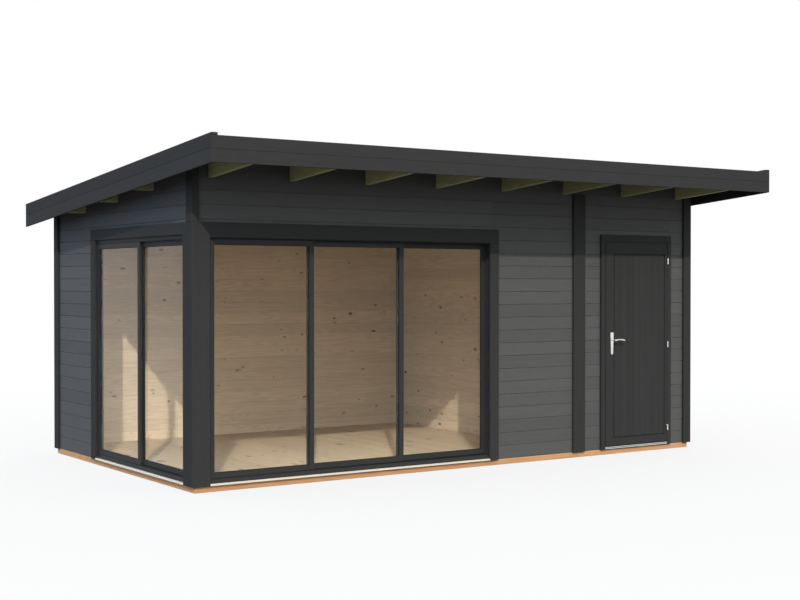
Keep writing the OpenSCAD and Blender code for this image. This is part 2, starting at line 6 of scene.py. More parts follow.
import bpy
from bpy.props import FloatProperty, FloatVectorProperty, IntProperty, PointerProperty
from bpy.types import Operator, Panel, PropertyGroup
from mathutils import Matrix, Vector


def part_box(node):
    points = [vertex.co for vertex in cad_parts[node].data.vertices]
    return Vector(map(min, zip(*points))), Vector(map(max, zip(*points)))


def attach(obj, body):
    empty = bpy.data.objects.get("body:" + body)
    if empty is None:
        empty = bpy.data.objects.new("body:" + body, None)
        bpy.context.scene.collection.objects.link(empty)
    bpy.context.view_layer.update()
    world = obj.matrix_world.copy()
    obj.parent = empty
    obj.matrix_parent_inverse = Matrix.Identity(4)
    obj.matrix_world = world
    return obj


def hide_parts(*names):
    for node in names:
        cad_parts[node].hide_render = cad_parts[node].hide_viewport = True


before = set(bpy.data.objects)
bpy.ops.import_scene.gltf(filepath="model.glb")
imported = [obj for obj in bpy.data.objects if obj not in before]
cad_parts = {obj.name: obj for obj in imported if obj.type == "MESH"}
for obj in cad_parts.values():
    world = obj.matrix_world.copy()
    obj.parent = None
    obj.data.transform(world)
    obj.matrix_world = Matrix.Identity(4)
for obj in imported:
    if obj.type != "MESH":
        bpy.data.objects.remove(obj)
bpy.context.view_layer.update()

bl_info = {
    "name": "Garden Office Pod",
    "version": (1, 0, 0),
    "blender": (4, 5, 0),
    "location": "3D View > Sidebar > Pod",
    "description": "Builds the boards, glazing, hardware, finishes and stage of a garden office pod",
    "category": "Add Mesh",
}

BEARER_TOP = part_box("base_bearers")[1].z
X, Y, Z = 0, 1, 2
AXES = (Vector((1, 0, 0)), Vector((0, 1, 0)), Vector((0, 0, 1)))
# Lengths below this count as nought
HAIR = 1e-4
# Length of the wood pattern that each board's grain is cut from
PATTERN_LENGTH = 40.0
WHITE = (1.0, 1.0, 1.0, 1.0)
# Axes along and across each glazed side
GLAZED_SIDES = {"front": (X, Y), "side": (Y, X)}
# Share of the lever's length, rise and change of girth at each station of its arm
LEVER_STATIONS = ((0.3, 0.004, 0.66), (0.6, 0.004, 1.0), (0.8, 0.0, 1.2), (1.0, -0.005, 0.95))
# Body that each sash rides on
SASHES = {
    "front_sash_left": "front_left_door",
    "front_sash_middle": "front_middle_door",
    "front_sash_right": "front_right_door",
    "side_sash_back": "side_back_door",
    "side_sash_front": "side_front_door",
}


def number(name, about, value):
    """Plain number property"""
    return FloatProperty(name=name, description=about, default=value)


def length(name, about, value):
    """Length property of a board, bar or gap"""
    return FloatProperty(name=name, description=about, default=value, unit="LENGTH")


def angle(name, about, degrees):
    """Angle property, given in degrees"""
    return FloatProperty(name=name, description=about, default=math.radians(degrees), subtype="ANGLE")


def colour(name, value):
    """Colour property of a finish"""
    return FloatVectorProperty(
        name=name, description="Colour of the " + name.lower(), subtype="COLOR", default=value, min=0, max=1
    )


class PodBoards(PropertyGroup):
    """Sizes of the boards and grooves"""

    course: length("Wall course", "Height of one log board", 0.114)
    outer_groove: length("Outer groove", "Chamfer along the painted joints", 0.0045)
    inner_groove: length("Inner groove", "Chamfer along the bare joints", 0.004)
    fall: number("Roof fall", "Fall of the roof per metre", 0.081)
    eased_edge: length("Eased edge", "Rounding of planed boards", 0.003)
    bearer_edge: length("Bearer edge", "Rounding of the bearers", 0.004)
    blocking_edge: length("Blocking edge", "Rounding of the blocking over the walls", 0.002)
    floor_board: length("Floor board", "Cover width of a floor board", 0.114)
    floor_groove: length("Floor groove", "Chamfer along the floor's joints", 0.0015)
    roof_board: length("Roof board", "Cover width of a roof board", 0.098)
    roof_groove: length("Roof groove", "Chamfer along the joints under the roof boards", 0.004)
    panel_boards: IntProperty(name="Panel boards", description="Boards in the door panel", default=8)
    panel_seat: length("Panel seat", "Depth of the panel in the leaf's groove", 0.01)
    panel_margin: length("Panel margin", "Open groove around the raised boards", 0.012)
    hinge_margin: length("Hinge margin", "Open groove beside the hinge stile", 0.004)
    panel_core: length("Panel core", "Thickness of the panel in its groove", 0.016)
    fascia: length("Fascia", "Height of the front fascia between the verges", 0.193)
    roll_width: length("Roll width", "Width of a strip of roof covering", 1.05)
    roll_lap: length("Lap", "Overlap of two strips of roof covering", 0.08)
    roll_edge: length("Roll edge", "Rounding of the roof covering", 0.001)


class PodGlazing(PropertyGroup):
    """Sizes of the sliding glazing"""

    track_pitch: length("Track pitch", "Distance from track to track", 0.03)
    fin: length("Fin", "Thickness of a track fin", 0.002)
    channel: length("Channel", "Depth of the channels for the sashes", 0.018)
    track_fin: length("Track fin", "Height of the fins on the track", 0.01)
    jamb: length("Jamb", "Width of the frame beside the sashes", 0.0403)
    seal_width: length("Seal width", "Width of the seal beside the glass", 0.004)
    seal_height: length("Seal height", "Height of the seal over the glass", 0.003)
    seal_edge: length("Seal edge", "Rounding of the seals", 0.001)
    # The brushes are dark pile seals, made tall enough to also stand in as painted shade in the channels
    brush: length("Brush", "Thickness of the brush behind a fin", 0.0015)
    brush_and_shade_height: length("Brush height", "Height of the brush past its fin", 0.007)
    drip: length("Drip", "Drop from the track to the pale nosing", 0.008)
    nosing_lap: length("Nosing lap", "Depth of the nosing behind the frame's face", 0.004)
    sill_edge: length("Sill edge", "Rounding of the sills", 0.002)
    metal_edge: length("Metal edge", "Rounding of the frame bars", 0.0015)


class PodDoor(PropertyGroup):
    """Sizes of the store door's frame, threshold, hinges and handle"""

    gap: length("Gap", "Gap around the closed leaf", 0.006)
    stop: length("Stop", "Width of the stop that the leaf closes on", 0.015)
    strip_inset: length("Strip inset", "Depth of the weather strip behind the leaf's face", 0.002)
    strip_gap: length("Strip gap", "Gap between the leaf and the weather strip", 0.001)
    running_gap: length("Running gap", "Gap between pieces that nearly touch", 0.0003)
    rib: length("Rib", "Width of a rib on the threshold", 0.004)
    rib_pitch: length("Rib pitch", "Distance from rib to rib", 0.009)
    rib_front: length("Rib front", "Distance that the front ribs stand before the core", 0.006)
    rib_edge: length("Rib edge", "Rounding of the core and the front ribs", 0.001)
    hinge_plate: length("Hinge plate", "Thickness of a hinge's plate", 0.002)
    hinge_face: length("Hinge face", "Distance from a hinge's axis to its plate's outer face", 0.003)
    hinge_edge: length("Hinge edge", "Rounding of a hinge's barrel", 0.0012)
    plate_taper: number("Plate taper", "Width of a backplate's foot as a share of its head", 0.65)
    plate_corner: length("Plate corner", "Rounding of a backplate's corners", 0.009)
    plate_edge: length("Plate edge", "Rounding of a backplate's face", 0.0025)
    lever_drop: length("Lever drop", "Drop from a backplate's top to the lever", 0.071)
    lock_drop: length("Lock drop", "Drop from the lever to the lock cylinder", 0.072)
    lock: length("Lock", "Radius of the lock cylinder", 0.0085)
    lock_edge: length("Lock edge", "Rounding of the lock cylinder", 0.001)
    lock_proud: length("Lock proud", "Distance that the lock stands out of its plate", 0.002)
    web: length("Web", "Half the width of the lock's web", 0.005)
    web_height: length("Web height", "Height of the lock's web", 0.024)
    screw: length("Screw", "Radius of a screw head", 0.004)
    screw_edge: length("Screw edge", "Rounding of a screw head", 0.0008)
    screw_proud: length("Screw proud", "Distance that a screw stands out of its plate", 0.001)
    screw_top: length("Upper screw", "Drop from a backplate's top to its screw", 0.012)
    screw_foot: length("Lower screw", "Rise from a backplate's foot to its screw", 0.010)
    lever: length("Lever", "Radius of the lever's arm at its root", 0.0095)
    lever_root: length("Lever root", "Length of the arm's straight root", 0.012)
    neck: length("Neck", "Radius of the lever's neck", 0.006)
    collar: length("Collar", "Radius of the collar around the neck", 0.013)
    collar_depth: length("Collar depth", "Depth of the collar", 0.008)
    collar_edge: length("Collar edge", "Rounding of the collar", 0.0015)


class PodFinishes(PropertyGroup):
    """Colours of the finishes"""

    wall_paint: colour("Wall paint", (0.099, 0.098, 0.095))
    trim_paint: colour("Trim paint", (0.041, 0.0405, 0.0395))
    spruce: colour("Spruce", (0.715, 0.588, 0.422))
    spruce_ring: colour("Spruce rings", (0.58, 0.43, 0.275))
    floor_board: colour("Floor boards", (0.58, 0.455, 0.31))
    floor_board_ring: colour("Floor board rings", (0.52, 0.385, 0.24))
    knot: colour("Knots", (0.15, 0.07, 0.03))
    treated: colour("Treated timber", (0.46, 0.46, 0.25))
    treated_ring: colour("Treated rings", (0.34, 0.33, 0.16))
    bearer: colour("Bearers", (0.63, 0.333, 0.155))
    bearer_ring: colour("Bearer rings", (0.49, 0.235, 0.10))
    frame_coat: colour("Frame coat", (0.040, 0.040, 0.039))
    sill: colour("Sills", (0.76, 0.68, 0.55))
    steel: colour("Steel", (0.82, 0.81, 0.78))
    aluminium: colour("Aluminium", (0.88, 0.885, 0.85))
    felt: colour("Roof covering", (0.035, 0.036, 0.039))
    rubber: colour("Seals", (0.012, 0.012, 0.013))
    glass: colour("Glass", (0.93, 0.96, 0.95))
    floor: colour("Floor", (0.10, 0.10, 0.10))
    floor_seen: colour("Floor in view", (0.55, 0.55, 0.55))
    sky: colour("Sky", (0.85, 0.85, 0.83))
    blue_sky: colour("Blue sky", (0.60, 0.76, 1.0))
    sunlight: colour("Sunlight", (1.0, 0.97, 0.92))


class PodStage(PropertyGroup):
    """Camera and light"""

    eye: FloatVectorProperty(
        name="Eye", description="Place of the camera", subtype="TRANSLATION",
        default=(-7.117, -10.609, 1.614)
    )
    heading: angle("Heading", "Turn from +Y towards +X", 33.987)
    dip: angle("Dip", "Tilt below the horizon", 0.74)
    lens: number("Lens", "Focal length in millimetres", 61.02)
    sun_ray: FloatVectorProperty(
        name="Sun ray", description="Way the sunlight travels", subtype="DIRECTION",
        default=(0.60, 1, -0.75)
    )
    sun: number("Sun", "Strength of the sunlight", 1.85)
    sun_size: angle("Sun size", "Softness of the sunlight", 0.8)
    sky: number("Sky", "Strength of the soft light all round", 1.65)
    floor_size: length("Floor size", "Side of the pale floor", 120.0)
    floor_glow: number("Floor glow", "Share of plain white in the floor beside the building", 0.8)
    floor_fade: FloatVectorProperty(
        name="Floor fade", description="Where the floor starts and ends turning plain white",
        size=2, subtype="XYZ_LENGTH", default=(4.0, 12.0)
    )


# Selection and modelling


def deselect():
    """Go back to object mode, with nothing selected"""
    if bpy.context.object and bpy.context.object.mode != "OBJECT":
        bpy.ops.object.mode_set(mode="OBJECT")
    bpy.ops.object.select_all(action="DESELECT")


def focus(piece):
    """Select one piece alone and make it active"""
    deselect()
    piece.select_set(True)
    bpy.context.view_layer.objects.active = piece


def add_block(lo, hi):
    """Cube that fills the space between two corners, as the blank of a board"""
    lo, hi = Vector(lo), Vector(hi)
    deselect()
    bpy.ops.mesh.primitive_cube_add(size=1, location=(lo + hi) / 2, scale=hi - lo)
    bpy.ops.object.transform_apply()
    return bpy.context.object


def join(pieces):
    """One piece out of several"""
    focus(pieces[0])
    for piece in pieces[1:]:
        piece.select_set(True)
    if len(pieces) > 1:
        bpy.ops.object.join()
    return pieces[0]


def edit_where(piece, part, test):
    """Go into edit mode with only those vertices, edges or polygons selected that pass a test"""
    mesh = piece.data
    for items in (mesh.vertices, mesh.edges, mesh.polygons):
        items.foreach_set("select", [False] * len(items))
    for item in getattr(mesh, part):
        item.select = test(item)
    focus(piece)
    kinds = ("vertices", "edges", "polygons")
    bpy.context.tool_settings.mesh_select_mode = [kind == part for kind in kinds]
    bpy.ops.object.mode_set(mode="EDIT")


def leave_edit():
    """Back to object mode"""
    bpy.ops.object.mode_set(mode="OBJECT")


def shift(piece, test, move):
    """Move the vertices whose place passes a test"""
    edit_where(piece, "vertices", lambda vertex: test(vertex.co))
    bpy.ops.transform.translate(value=move)
    leave_edit()


def chamfer(piece, width, test, segments=1, run=None):
    """Bevel the edges whose two ends both pass a test, or of these only the edges along one axis"""
    places = [vertex.co.copy() for vertex in piece.data.vertices]

    def picked(edge):
        a, b = (places[i] for i in edge.vertices)
        return test(a) and test(b) and (run is None or abs(a[run] - b[run]) > HAIR)

    edit_where(piece, "edges", picked)
    bpy.ops.mesh.bevel(offset=width, segments=segments, affect="EDGES")
    leave_edit()


def saw(piece, point, away):
    """Cut off what lies beyond a plane and close the cut"""
    edit_where(piece, "vertices", lambda vertex: True)
    bpy.ops.mesh.bisect(plane_co=point, plane_no=away, use_fill=True, clear_outer=True)
    leave_edit()


def repeat(piece, count, step):
    """Row of copies a step apart"""
    focus(piece)
    bpy.ops.object.modifier_add(type="ARRAY")
    row = piece.modifiers[-1]
    row.count = count
    row.use_relative_offset = False
    row.use_constant_offset = True
    row.constant_offset_displace = step
    bpy.ops.object.modifier_apply(modifier=row.name)
    return piece


def ease(piece, width, segments=2):
    """Round the sharp edges"""
    focus(piece)
    bpy.ops.object.modifier_add(type="BEVEL")
    bevel = piece.modifiers[-1]
    bevel.width = width
    bevel.segments = segments
    bevel.limit_method = "ANGLE"
    bpy.ops.object.modifier_apply(modifier=bevel.name)
    return piece


def copy_to(piece, move):
    """Copy with a mesh of its own, moved over"""
    focus(piece)
    bpy.ops.object.duplicate()
    bpy.ops.transform.translate(value=move)
    bpy.ops.object.transform_apply()
    return bpy.context.object


def groups_of(mesh, key=lambda i: i):
    """Vertex numbers of each separate body in a mesh; vertices with one key count as one"""
    parent = {}

    def root(k):
        while parent.setdefault(k, k) != k:
            parent[k] = parent[parent[k]]
            k = parent[k]
        return k

    for edge in mesh.edges:
        a, b = edge.vertices
        parent[root(key(a))] = root(key(b))
    groups = {}
    for i in range(len(mesh.vertices)):
        groups.setdefault(root(key(i)), []).append(i)
    return list(groups.values())


def span(mesh, group):
    """Lowest and highest corner of some vertices"""
    places = [mesh.vertices[i].co for i in group]
    lo = Vector([min(p[k] for p in places) for k in range(3)])
    hi = Vector([max(p[k] for p in places) for k in range(3)])
    return lo, hi


def solids(node, digits=5):
    """Lowest and highest corner of each solid in a node of the model"""
    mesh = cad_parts[node].data
    places = [tuple(round(c, digits) for c in vertex.co) for vertex in mesh.vertices]
    boxes = [span(mesh, group) for group in groups_of(mesh, lambda i: places[i])]
    return sorted(boxes, key=lambda box: tuple(box[0]))


def lay_grain(piece):
    """Give each board a tone of its own and coordinates along its length, width and thickness"""
    mesh = piece.data
    tone = mesh.attributes.new("board_tone", "FLOAT", "POINT")
    grain = mesh.attributes.new("grain", "FLOAT_VECTOR", "POINT")
    dice = random.Random(piece.name)
    for group in groups_of(mesh):
        lo, hi = span(mesh, group)
        size = hi - lo
        order = sorted((X, Y, Z), key=lambda k: -size[k])
        shade = dice.random()
        start = Vector([dice.uniform(0, PATTERN_LENGTH) for _ in AXES])
        for i in group:
            place = mesh.vertices[i].co
            tone.data[i].value = shade
            grain.data[i].vector = start + Vector([place[k] for k in order])


def finish(piece, name, nodes, slot, *finishes, body="building"):
    """Name a piece, give it its finishes, tie it to its body and hide the solids it stands for"""
    piece.name = name
    piece.data.name = name
    for title in finishes:
        piece.data.materials.append(bpy.data.materials[title])
    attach(piece, body)
    if nodes:
        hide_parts(*nodes)


def finish_boards(piece, *details, body="building"):
    """Finish a piece made of boards, each with its own tone and grain"""
    finish(piece, *details, body=body)
    lay_grain(piece)


def blocks(boxes):
    """One piece with a block for each pair of corners"""
    return join([add_block(lo, hi) for lo, hi in boxes])


def sloped_block(lo, hi, whole=True):
    """Block whose top, or whole length, follows the fall of the roof from front to back"""
    drop = bpy.context.scene.pod_boards.fall * (hi.y - lo.y)
    bottom = lo.z + drop if whole else lo.z
    middle = (lo + hi) / 2
    piece = add_block((lo.x, lo.y, bottom), hi)
    shift(piece, lambda p: p.y > middle.y and (whole or p.z > middle.z), (0, 0, -drop))
    return piece


def board_set(node, name, slot, finish_name, edge, slope=None):
    """Eased boards in place of each solid of a node; slope is None, "top" or "whole" """
    if slope:
        piece = join([sloped_block(lo, hi, slope == "whole") for lo, hi in solids(node)])
    else:
        piece = blocks(solids(node))
    finish_boards(ease(piece, edge), name, [node], slot, finish_name)


# Node trees


def add_node(tree, kind, inputs=None, **settings):
    """Node with its settings, and its inputs set or linked"""
    node = tree.nodes.new(kind)
    for key, value in settings.items():
        setattr(node, key, value)
    for key, value in (inputs or {}).items():
        if isinstance(value, bpy.types.NodeSocket):
            tree.links.new(value, node.inputs[key])
        else:
            node.inputs[key].default_value = value
    return node


def math_node(tree, operation, *values):
    """Result of a Math node"""
    return add_node(tree, "ShaderNodeMath", dict(enumerate(values)), operation=operation).outputs[0]


def ramp(tree, value, start, end, low=0.0, high=1.0):
    """Smooth step of a value from one level to another"""
    inputs = {"Value": value, "From Min": start, "From Max": end, "To Min": low, "To Max": high}
    return add_node(tree, "ShaderNodeMapRange", inputs, interpolation_type="SMOOTHSTEP").outputs["Result"]


def mix_colour(tree, factor, first, second, blend="MIX"):
    """Mix of two colours, through the node's factor and its two colour sockets"""
    inputs = {0: factor, 6: first, 7: second}
    return add_node(tree, "ShaderNodeMix", inputs, data_type="RGBA", blend_type=blend).outputs[2]


def noise(tree, vector, scale, detail=3.0):
    """Level of a noise pattern"""
    inputs = {"Vector": vector, "Scale": scale, "Detail": detail}
    return add_node(tree, "ShaderNodeTexNoise", inputs).outputs["Fac"]


def stretched(tree, vector, scale):
    """Coordinates stretched along the axes"""
    return add_node(tree, "ShaderNodeMapping", {"Vector": vector, "Scale": scale}).outputs["Vector"]


def rgba(value):
    """Colour with full alpha"""
    return (*value, 1.0)


def new_group(name, inputs, outputs):
    """Empty node group with float or vector inputs and float outputs"""
    tree = bpy.data.node_groups.new(name, "ShaderNodeTree")
    for title, kind in inputs.items():
        tree.interface.new_socket(title, in_out="INPUT", socket_type=kind)
    for title in outputs:
        tree.interface.new_socket(title, in_out="OUTPUT", socket_type="NodeSocketFloat")
    return tree, tree.nodes.new("NodeGroupInput").outputs, tree.nodes.new("NodeGroupOutput").inputs


def sawn_wood_group():
    """Growth rings, fibre and knots of softwood"""
    sockets = {
        "Grain": "NodeSocketVector",
        "Knot Share": "NodeSocketFloat",
        "Knot Size": "NodeSocketFloat",
    }
    tree, given, result = new_group("sawn_wood", sockets, ("Rings", "Fibre", "Knots"))
    grain = given["Grain"]
    cells_per_metre = (4.6, 8.5, 0.0)
    waves_per_metre = (0.5, 7.0, 7.0)
    fibres_per_metre = (1.5, 110.0, 110.0)
    ring_turns = 110.0
    knot_turns = 7.0
    core_edge = (0.03, 0.09)
    halo_edge = (0.05, 0.45)
    knot_space = stretched(tree, grain, cells_per_metre)
    cells = add_node(
        tree, "ShaderNodeTexVoronoi", {"Vector": knot_space, "Scale": 1.0}, voronoi_dimensions="2D"
    )
    lot = add_node(tree, "ShaderNodeSeparateColor", {"Color": cells.outputs["Color"]}).outputs
    chosen = math_node(tree, "LESS_THAN", lot["Red"], given["Knot Share"])
    depth = math_node(tree, "MULTIPLY_ADD", lot["Green"], 0.6, 0.4)
    distance = cells.outputs["Distance"]
    girth = math_node(tree, "MULTIPLY_ADD", math_node(tree, "POWER", lot["Blue"], 2.0), 1.7, 0.6)
    girth = math_node(tree, "MULTIPLY", girth, given["Knot Size"])
    core = ramp(tree, math_node(tree, "DIVIDE", distance, girth), *core_edge, 1.0, 0.0)
    halo = ramp(tree, distance, *halo_edge, 1.0, 0.0)
    waves = noise(tree, stretched(tree, grain, waves_per_metre), 1.0, 2.0)
    swirl = math_node(tree, "MULTIPLY", halo, chosen)
    turns = math_node(tree, "MULTIPLY", waves, ring_turns)
    bent = math_node(tree, "MULTIPLY_ADD", swirl, knot_turns, turns)
    rings = math_node(tree, "MULTIPLY_ADD", math_node(tree, "SINE", bent), 0.5, 0.5)
    fibre = noise(tree, stretched(tree, grain, fibres_per_metre), 1.0)
    knots = math_node(tree, "MULTIPLY", math_node(tree, "MULTIPLY", core, chosen), depth)
    for title, pattern in (("Rings", rings), ("Fibre", fibre), ("Knots", knots)):
        tree.links.new(pattern, result[title])


def fine_grit_group():
    """Speckle and slow cloudiness of a coated, cast or pressed surface"""
    sockets = {"Place": "NodeSocketVector", "Grain Size": "NodeSocketFloat"}
    tree, given, result = new_group("fine_grit", sockets, ("Speckle", "Cloud"))
    scale = math_node(tree, "DIVIDE", 1.0, given["Grain Size"])
    tree.links.new(noise(tree, given["Place"], scale, 2.0), result["Speckle"])
    clouds_per_metre = 2.5
    tree.links.new(noise(tree, given["Place"], clouds_per_metre), result["Cloud"])


def node_of(tree, kind):
    """First node of a kind"""
    return next(node for node in tree.nodes if node.type == kind)


def new_material(name):
    """Node tree and Principled shader of a new material"""
    material = bpy.data.materials.new(name)
    material.use_nodes = True
    return material.node_tree, node_of(material.node_tree, "BSDF_PRINCIPLED")


def place_group(tree, group, inputs):
    """Outputs of a node group placed in a material"""
    return add_node(tree, "ShaderNodeGroup", inputs, node_tree=bpy.data.node_groups[group]).outputs


def read_attribute(tree, name, output):
    """Value that a piece stores"""
    return add_node(tree, "ShaderNodeAttribute", attribute_name=name).outputs[output]


def board_tone(tree, spread):
    """Shade that differs from board to board"""
    return ramp(tree, read_attribute(tree, "board_tone", "Fac"), 0.0, 1.0, 1.0 - spread, 1.0 + spread)


def tint_shader(tree, shader, tint, shade):
    """Base colour of a shader, lightened or darkened by a shade"""
    grey = add_node(tree, "ShaderNodeCombineColor", {"Red": shade, "Green": shade, "Blue": shade})
    toned = mix_colour(tree, 1.0, tint, grey.outputs["Color"], "MULTIPLY")
    tree.links.new(toned, shader.inputs["Base Color"])


def roughen(tree, shader, pattern, spread, least):
    """Roughness of a shader that rises with a pattern"""
    roughness = math_node(tree, "MULTIPLY_ADD", pattern, spread, least)
    tree.links.new(roughness, shader.inputs["Roughness"])


def relief(tree, shader, height, strength, distance):
    """Bump on a shader"""
    inputs = {"Height": height, "Strength": strength, "Distance": distance}
    bump = add_node(tree, "ShaderNodeBump", inputs)
    tree.links.new(bump.outputs["Normal"], shader.inputs["Normal"])


def wood_pattern(tree, knot_share, knot_size=1.0):
    """Rings, fibre and knots along a piece's own grain"""
    grain = read_attribute(tree, "grain", "Vector")
    return place_group(
        tree, "sawn_wood", {"Grain": grain, "Knot Share": knot_share, "Knot Size": knot_size}
    )


def grit_pattern(tree, grain_size):
    """Speckle and cloudiness on a piece's own coordinates"""
    place = add_node(tree, "ShaderNodeTexCoord").outputs["Object"]
    return place_group(tree, "fine_grit", {"Place": place, "Grain Size": grain_size})


def bare_wood(name, light, ring, knot, knot_share, knot_size, spread, roughness):
    """Unpainted softwood: rings, knots and boards of differing tone"""
    tree, shader = new_material(name)
    wood = wood_pattern(tree, knot_share, knot_size)
    streak = math_node(tree, "MULTIPLY", wood["Rings"], 0.5)
    figure = mix_colour(tree, streak, rgba(light), rgba(ring))
    knotted = mix_colour(tree, math_node(tree, "MULTIPLY", wood["Knots"], 0.95), figure, rgba(knot))
    fibre = math_node(tree, "MULTIPLY_ADD", wood["Fibre"], 0.24, 0.88)
    tint_shader(tree, shader, knotted, math_node(tree, "MULTIPLY", board_tone(tree, spread), fibre))
    roughen(tree, shader, wood["Fibre"], spread=0.15, least=roughness)
    shader.inputs["Specular IOR Level"].default_value = 0.2
    height = math_node(tree, "ADD", wood["Fibre"], wood["Rings"])
    relief(tree, shader, height, strength=0.12, distance=0.0008)


def painted_wood(name, paint, spread, roughness):
    """Opaque matt paint that lets the fibre show"""
    tree, shader = new_material(name)
    wood = wood_pattern(tree, knot_share=0.15)
    fibre = math_node(tree, "MULTIPLY_ADD", wood["Fibre"], 0.16, 0.92)
    ring = math_node(tree, "MULTIPLY_ADD", wood["Rings"], -0.05, 1.02)
    shade = math_node(tree, "MULTIPLY", board_tone(tree, spread), fibre)
    tint_shader(tree, shader, rgba(paint), math_node(tree, "MULTIPLY", shade, ring))
    roughen(tree, shader, wood["Fibre"], spread=0.2, least=roughness)
    shader.inputs["Specular IOR Level"].default_value = 0.015
    figure = math_node(tree, "ADD", wood["Fibre"], wood["Rings"])
    height = math_node(tree, "MULTIPLY_ADD", wood["Knots"], -0.6, figure)
    relief(tree, shader, height, strength=0.18, distance=0.0007)


def coated(name, tint, grain_size, spread, roughness, metallic=0.0, bump=0.1, specular=0.5, strips=0.0):
    """Even surface with a fine texture: powder coat, rubber, felt or satin metal"""
    tree, shader = new_material(name)
    grit = grit_pattern(tree, grain_size)
    both = math_node(tree, "ADD", grit["Speckle"], grit["Cloud"])
    shade = ramp(tree, both, 0.6, 1.4, 1.0 - spread, 1.0 + spread)
    if strips:
        shade = math_node(tree, "MULTIPLY", shade, board_tone(tree, strips))
    tint_shader(tree, shader, rgba(tint), shade)
    shader.inputs["Metallic"].default_value = metallic
    shader.inputs["Specular IOR Level"].default_value = specular
    roughen(tree, shader, grit["Cloud"], spread=0.12, least=roughness)
    relief(tree, shader, grit["Speckle"], bump, grain_size * 0.3)


def clear_glass(name, tint):
    """Clear float glass"""
    tree, shader = new_material(name)
    tinted = mix_colour(tree, grit_pattern(tree, grain_size=0.4)["Cloud"], rgba(tint), WHITE)
    tree.links.new(tinted, shader.inputs["Base Color"])
    shader.inputs["Transmission Weight"].default_value = 1.0
    shader.inputs["Roughness"].default_value = 0.0
    shader.inputs["IOR"].default_value = 1.18


class POD_OT_finishes(Operator):
    """Make the paints, woods, metals and glass"""

    bl_idname = "pod.finishes"
    bl_label = "Finishes"

    def execute(self, context):
        tints = context.scene.pod_finishes
        sawn_wood_group()
        fine_grit_group()
        for name, tint, knot_share, knot_size, spread, roughness in (
            ("Bare spruce", "spruce", 0.3, 1.0, 0.05, 0.5),
            ("Floor spruce", "floor_board", 0.24, 2.0, 0.045, 0.5),
            ("Treated timber", "treated", 0.08, 1.0, 0.1, 0.65),
            ("Bearer wood", "bearer", 0.0, 1.0, 0.06, 0.6),
        ):
            light, ring = getattr(tints, tint), getattr(tints, tint + "_ring")
            bare_wood(name, light, ring, tints.knot, knot_share, knot_size, spread, roughness)
        painted_wood("Wall paint", tints.wall_paint, spread=0.05, roughness=0.6)
        painted_wood("Trim paint", tints.trim_paint, spread=0.04, roughness=0.6)
        for name, tint, grain_size, spread, roughness, others in (
            ("Frame coat", tints.frame_coat, 0.0015, 0.05, 0.38, {"specular": 0.03}),
            ("Off-white sill", tints.sill, 0.003, 0.03, 0.4, {}),
            ("Satin steel", tints.steel, 0.0008, 0.05, 0.16, {"metallic": 1.0, "bump": 0.03}),
            ("Ribbed aluminium", tints.aluminium, 0.001, 0.06, 0.3, {"metallic": 1.0, "bump": 0.05}),
            ("Roof felt", tints.felt, 0.003, 0.16, 0.75, {"bump": 0.6, "specular": 0.2, "strips": 0.12}),
            ("Seal rubber", tints.rubber, 0.002, 0.1, 0.6, {"specular": 0.15}),
        ):
            coated(name, tint, grain_size, spread, roughness, **others)
        clear_glass("Clear glass", tints.glass)
        return {"FINISHED"}


class POD_OT_base(Operator):
    """Lay the bearers that the building stands on"""

    bl_idname = "pod.base"
    bl_label = "Base"

    def execute(self, context):
        edge = context.scene.pod_boards.bearer_edge
        board_set("base_bearers", "base_boards", "base_wood", "Bearer wood", edge)
        return {"FINISHED"}


def board_field(x0, x1, y0, y1, z0, z1):
    """Floor boards from front to back over a rectangle, on one grid from the left wall"""
    boards = bpy.context.scene.pod_boards
    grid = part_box("floor")[0].x
    first = math.floor((x0 - grid) / boards.floor_board)
    start = grid + first * boards.floor_board
    count = math.ceil((x1 - start) / boards.floor_board)
    piece = add_block((start, y0, z0), (start + boards.floor_board, y1, z1))
    chamfer(piece, boards.floor_groove, lambda p: p.z > (z0 + z1) / 2)
    repeat(piece, count, (boards.floor_board, 0, 0))
    saw(piece, (x0, 0, 0), -AXES[X])
    saw(piece, (x1, 0, 0), AXES[X])
    return piece


class POD_OT_floor(Operator):
    """Lay the floor boards of both rooms around the glazing frames"""

    bl_idname = "pod.floor"
    bl_label = "Floor"

    def execute(self, context):
        (office_lo, office_hi), (store_lo, store_hi) = solids("floor")
        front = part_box("front_glazing_frame")[1]
        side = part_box("side_glazing_frame")[1]
        z = (office_lo.z, office_hi.z)
        fields = [
            board_field(office_lo.x, side.x, side.y, office_hi.y, *z),
            board_field(side.x, front.x, front.y, office_hi.y, *z),
            board_field(front.x, office_hi.x, office_lo.y, office_hi.y, *z),
            board_field(store_lo.x, store_hi.x, store_lo.y, store_hi.y, *z),
        ]
        finish_boards(join(fields), "floor_boards", ["floor"], "natural_spruce", "Floor spruce")
        return {"FINISHED"}


def log_wall(node, outward):
    """Stack of log boards with grooved joints on both faces, sawn to the roof's fall"""
    boards = bpy.context.scene.pod_boards
    lo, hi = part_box(node)
    first = math.floor((lo.z - BEARER_TOP + HAIR) / boards.course)
    bottom = BEARER_TOP + first * boards.course
    count = math.ceil((hi.z - bottom) / boards.course)
    piece = add_block((lo.x, lo.y, bottom), (hi.x, hi.y, bottom + boards.course))
    across, run = (X, Y) if outward.x else (Y, X)
    middle = (lo[across] + hi[across]) / 2
    way = outward[across]
    for width, side in ((boards.outer_groove, way), (boards.inner_groove, -way)):
        chamfer(piece, width, lambda p: (p[across] - middle) * side > 0, run=run)
    repeat(piece, count, (0, 0, boards.course))
    if bottom < lo.z - HAIR:
        saw(piece, lo, -AXES[Z])
    saw(piece, (0, lo.y, hi.z), Vector((0, boards.fall, 1)).normalized())
    return piece


